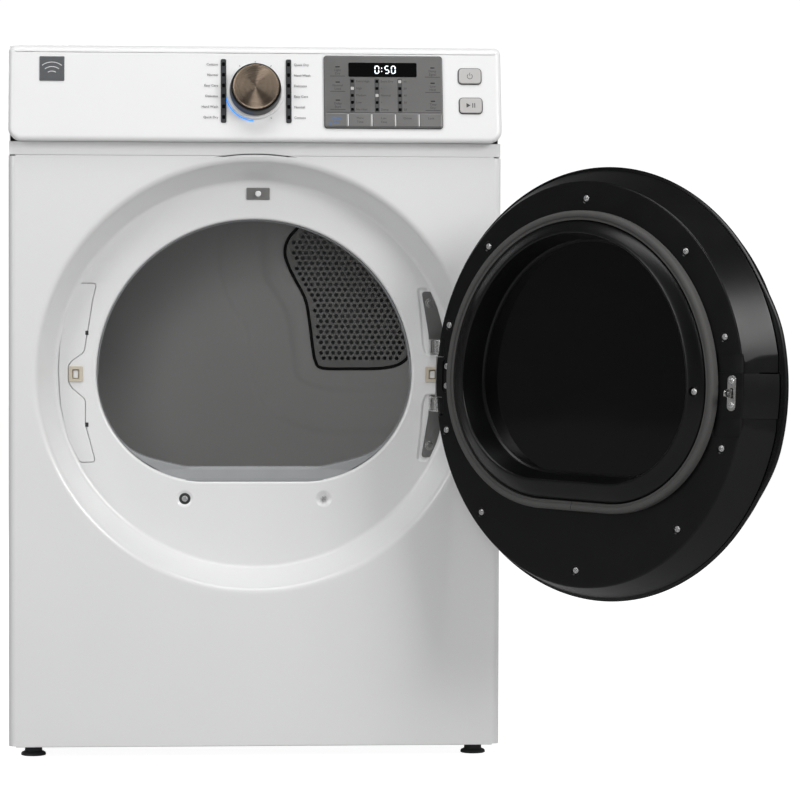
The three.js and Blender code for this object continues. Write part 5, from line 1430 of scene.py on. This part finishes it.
def buildDrum():
    radius, neck, wall = drumBody["radius"], drumBody["neck"], drumBody["wall"]
    front, back, reach = drumBody["front"], drumBody["back"], drumBody["reach"]
    outside = [(neck, front), (neck, front + reach - 5), (neck + 1, front + reach - 2),
               (radius - 1, front + reach + 1), (radius, front + reach + 4)]
    for y in (190, 440, 560):
        outside += [(radius, y - 9), (radius - 1.6, y - 4), (radius - 2.2, y), (radius - 1.6, y + 4),
                    (radius, y + 9)]
    outside += [(radius, back - reach - 4), (radius - 1, back - reach - 1), (neck + 1, back - reach + 2),
                (neck, back - reach + 5), (neck, back)]
    outer = [frontOf(oval(r, count=192), y) for r, y in outside]
    inner = [frontOf(oval(r - wall, count=192), y) for r, y in reversed(outside)]
    mesh = Shape().loft(outer + inner, joined=True).mesh("drum_shell")
    addPiece("drum_shell", mesh, drumPlace, "drum", drumGrey.material, ["drum"], 50)


vane = {
    "turn": 60, "count": 3, "halfWidth": 41, "ridge": 15.5, "crown": 0.8, "steps": 48,
    "outline": [
        (130, 6), (136, 18), (150, 34), (190, 50), (300, 57), (450, 57), (560, 50), (598, 32), (608, 16),
        (612, 6),
    ],
    "frontGap": 2.2, "backGap": 1.4, "backHalfWidth": 40.5, "backSteps": 24,
}


def buildBaffle(index):
    # a tall rounded vane with sloping ends
    turn = math.radians(vane["turn"] + 360 / vane["count"] * index)
    half, crown = vane["halfWidth"], vane["crown"]

    def turned(across, y, inward):
        c, s = math.cos(turn), math.sin(turn)
        return (across * c - inward * s, y, across * s + inward * c)

    def wallAt(across):
        return math.sqrt(drumBody["radius"] ** 2 - across ** 2)

    rings = []
    for y, height in vane["outline"]:
        ring = []
        for i in range(vane["steps"] + 1):
            t = i / vane["steps"] * 2 - 1
            across = half * math.copysign(abs(t) ** 0.9, t)
            ridge = math.exp(-(across / vane["ridge"]) ** 2)
            rise = height * (ridge * crown + 0.2 * (1 - (across / half) ** 2))
            ring.append(turned(across, y, wallAt(across) - vane["frontGap"] - max(rise, 0)))
        for i in range(vane["backSteps"], -1, -1):
            across = (i / vane["backSteps"] * 2 - 1) * vane["backHalfWidth"]
            ring.append(turned(across, y, wallAt(across) - vane["backGap"]))
        rings.append(ring)
    return Shape().loft(rings).fill(rings[0]).fill(rings[-1]).mesh("baffle")


def nearestBaffle(mesh):
    # which packed vane this one stands for
    middle = sum((drumPlace @ vertex.co for vertex in mesh.vertices), Vector()) / len(mesh.vertices)
    spots = {}
    for name in ("baffle_1", "baffle_2", "baffle_3"):
        low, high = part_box(name)
        spots[name] = ((low + high) / 2 - middle).length
    return min(spots, key=spots.get)


def pathDistance(point, path):
    best = 1e9
    for a, b in zip(path, path[1:]):
        along = (b[0] - a[0], b[1] - a[1])
        t = ((point[0] - a[0]) * along[0] + (point[1] - a[1]) * along[1]) / (along[0] ** 2 + along[1] ** 2)
        t = min(max(t, 0), 1)
        best = min(best, math.dist(point, (a[0] + along[0] * t, a[1] + along[1] * t)))
    return best


def insideOutline(point, outline):
    inside = False
    for a, b in zip(outline, outline[1:] + outline[:1]):
        if (a[1] > point[1]) == (b[1] > point[1]):
            continue
        if point[0] < (b[0] - a[0]) * (point[1] - a[1]) / (b[1] - a[1]) + a[0]:
            inside = not inside
    return inside


def buildRearWall(gasket):
    # a band is its reach, the width over which it fades, and its height
    shape = Shape()
    channel = smoothPath(rearWall["channel"], 6)
    channelReach, channelFade, channelRise = rearWall["channelBand"]
    gasketReach, gasketFade, gasketRise = rearWall["gasketBand"]
    rimStart, rimFade, rimRise = rearWall["rimBand"]
    edge = gasket + gasket[:1]
    rows = []
    for i in range(rearWall["rings"]):
        radius = rearWall["radius"] * (1 - i / rearWall["rings"])
        row = []
        for a, b in oval(max(radius, 0.1), count=rearWall["sides"]):
            height = 0
            if not insideOutline((a, b), gasket):
                toChannel, toGasket = pathDistance((a, b), channel), pathDistance((a, b), edge)
                height = max(channelRise * ease((channelReach - toChannel) / channelFade),
                             gasketRise * ease((gasketReach - toGasket) / gasketFade))
            height += rimRise * ease((radius - rimStart) / rimFade)
            row.append((a, rearWall["y"] - height, b))
        rows.append(row)
    shape.loft(rows).fill(rows[-1])
    hole = inset(gasket, rearWall["hole"])
    kept = []
    for face in shape.faces:
        middle = [sum(shape.points[i][k] for i in face) / len(face) for k in (0, 2)]
        if not insideOutline(middle, hole):
            kept.append(face)
    shape.faces = kept
    mesh = shape.mesh("rear_wall_face", facing=(0, -1, 0))
    piece = addPiece("rear_wall_face", mesh, drumPlace, "cabinet", drumGrey.material, (),
                     50)
    thick = piece.modifiers.new("sheet", "SOLIDIFY")
    thick.thickness = rearWall["sheet"] * mm
    thick.offset = -1
    piece.modifiers.move(1, 0)


grille = {
    "pitch": 9.6, "hole": 3.45, "border": 7.5, "middle": (170, 100), "span": 30, "front": 3.6, "back": 1.4,
    "gasket": [(-2.4, -0.2), (-2.4, -3.6), (-1.6, -4.4), (0.4, -4.6), (1.8, -4.2), (2.4, -3.4), (2.4, -0.2)],
}


def buildGrille():
    gasket = smoothLoop(grilleEdge, 6)
    if sum(a[0] * b[1] - b[0] * a[1] for a, b in zip(gasket, gasket[1:] + gasket[:1])) < 0:
        gasket.reverse()
    buildRearWall(gasket)
    body = inset(gasket, 2.2)
    limit = body + body[:1]
    pitch, span = grille["pitch"], grille["span"]
    holes = []
    for row in range(-span, span + 1):
        for column in range(-span, span + 1):
            spot = (grille["middle"][0] + pitch * (column + 0.5 * (row % 2)),
                    grille["middle"][1] + pitch * 0.866 * row)
            if insideOutline(spot, body) and pathDistance(spot, limit) > grille["border"]:
                holes.append([(spot[0] + a, spot[1] + b) for a, b in oval(grille["hole"], count=6)])
    front, back = rearWall["y"] - grille["front"], rearWall["y"] - grille["back"]
    shape = Shape()
    rings = [frontOf(body, back)]
    rings += [frontOf(inset(body, away), front + down) for away, down in ((0, 0.8), (0.4, 0.2), (1.2, 0))]
    shape.loft(rings)
    walls = []
    for outline in holes:
        wall = [frontOf(outline, front), frontOf(outline, back)]
        shape.loft(wall)
        walls.append(wall[0])
    shape.fill(rings[-1], walls)
    mesh = shape.mesh("grille_plate", facing=(0, -1, 0))
    addPiece("grille_plate", mesh, drumPlace, "cabinet", grilleGrey.material, ["air_grille"],
             40, False)
    rings = ringed(gasket, [(away, rearWall["y"] + rise) for away, rise in grille["gasket"]])
    mesh = Shape().loft(rings, joined=True).mesh("grille_gasket")
    addPiece("grille_gasket", mesh, drumPlace, "cabinet", tyreBlack.material)


lip = {"clearance": 0.5, "thin": 1.5, "deep": 15.5, "start": 0.44, "fade": 0.34, "back": 83}


def buildLip():
    # a moulded crescent along the foot of the loading opening
    outer = inset(archOutline(*panel["opening"]), lip["clearance"])
    inner = []
    for a, b in outer:
        radius = math.hypot(a, b)
        share = ease((-b / radius - lip["start"]) / lip["fade"])
        down = lip["thin"] + lip["deep"] * share
        if b < 0:
            inner.append((a * (1 - 0.35 * down / radius), b + down * min(-b / radius * 1.25, 1)))
        else:
            inner.append((a * 0.993, b * 0.993))
    rings = [frontOf(between(outer, inner, share), y)
             for share, y in ((0, 61.5), (0.06, 60.6), (0.82, 61.4), (0.94, 62.4), (1, 65))]
    rings += [frontOf(inner, lip["back"]), frontOf(outer, lip["back"])]
    mesh = Shape().loft(rings, joined=True).mesh("opening_lip")
    addPiece("opening_lip", mesh, ringPlace, "cabinet", lipGrey.material, (), 40)


print("drum")
buildDrum()
for number in range(vane["count"]):
    vaneMesh = buildBaffle(number)
    stood = nearestBaffle(vaneMesh)
    addPiece(f"{stood}_vane", vaneMesh, drumPlace, "drum", drumGrey.material, [stood],
             40)
buildGrille()
buildLip()

foot = {
    "pad": [
        (16.5, 0), (17.4, 0.6), (17.4, 2.6), (16.6, 4.2), (15, 5.2), (12.6, 6), (12.4, 6.2), (11.8, 12),
        (5, 12.2), (4.6, 13),
    ],
    "threads": 7, "pitch": 2.9, "crest": (4.9, 13.6), "root": (4.1, 15.0), "end": (4.2, 33.5),
}


def buildFeet():
    for name in ("foot_front_left", "foot_rear_left", "foot_front_right", "foot_rear_right"):
        low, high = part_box(name)
        profile = list(foot["pad"])
        for turn in range(foot["threads"]):
            profile += [(radius, z + foot["pitch"] * turn) for radius, z in (foot["crest"], foot["root"])]
        profile.append(foot["end"])
        shape = Shape()
        rings = [onFace(oval(r, count=48), z) for r, z in profile]
        shape.loft(rings).fill(rings[0]).fill(rings[-1])
        place = Matrix.Translation(((low.x + high.x) / 2, (low.y + high.y) / 2, 0))
        addPiece(f"{name}_pad", shape.mesh("pad"), place, name, moulded.material, [name], 40)


def soften(node, width, angle=34):
    # small rounded edges on a packed sheet part
    weld = node.modifiers.new("weld", "WELD")
    weld.merge_threshold = 2e-6
    bevel = node.modifiers.new("soft edges", "BEVEL")
    bevel.limit_method = "ANGLE"
    bevel.angle_limit = math.radians(angle)
    bevel.width = width * mm
    bevel.segments = 2
    bevel.harden_normals = False
    even = node.modifiers.new("even shading", "WEIGHTED_NORMAL")
    even.keep_sharp = True


keptFinishes = {
    "side_panel_left": (white, 0.5), "side_panel_right": (white, 0.5), "top_panel": (white, 2.2),
    "front_strip": (white, 0.6),
    "rear_panel": (galvanised, 0.3), "base_pan": (galvanised, 0.3), "terminal_cover": (galvanised, 0.6),
    "front_bulkhead": (lipGrey, 0.3), "rear_bulkhead": (galvanised, 0.3), "heater_box": (galvanised, 0.3),
    "lint_duct": (moulded, 0.5), "lint_filter": (lipGrey, 0.8), "roller_left": (tyreBlack, 0.8),
    "roller_right": (tyreBlack, 0.8),
    "motor": (darkSteel, 0.8), "motor_pulley": (zinc, 0.3), "blower_wheel": (moulded, 0.2),
    "blower_housing": (moulded, 0.6),
    "exhaust_duct": (galvanised, 0.3), "idler_arm": (zinc, 0.4), "idler_pulley": (moulded, 0.4),
    "drum_belt": (tyreBlack, 0),
    "hinge_leaf": (zinc, 0.4),
}


def dressKept():
    replacedNames = set()
    for piece in bpy.data.objects:
        if piece.type == "MESH" and piece.hide_render:
            replacedNames.add(piece.name)
    for name, node in frame["nodes"].items():
        if name in replacedNames:
            continue
        finish, width = keptFinishes.get(name, (moulded, 0.3))
        for holder in node.material_slots:
            holder.material = finish.material
        if not node.material_slots:
            node.data.materials.append(finish.material)
        if width:
            soften(node, width)


print("feet and kept parts")
buildFeet()
dressKept()

bpy.context.view_layer.update()
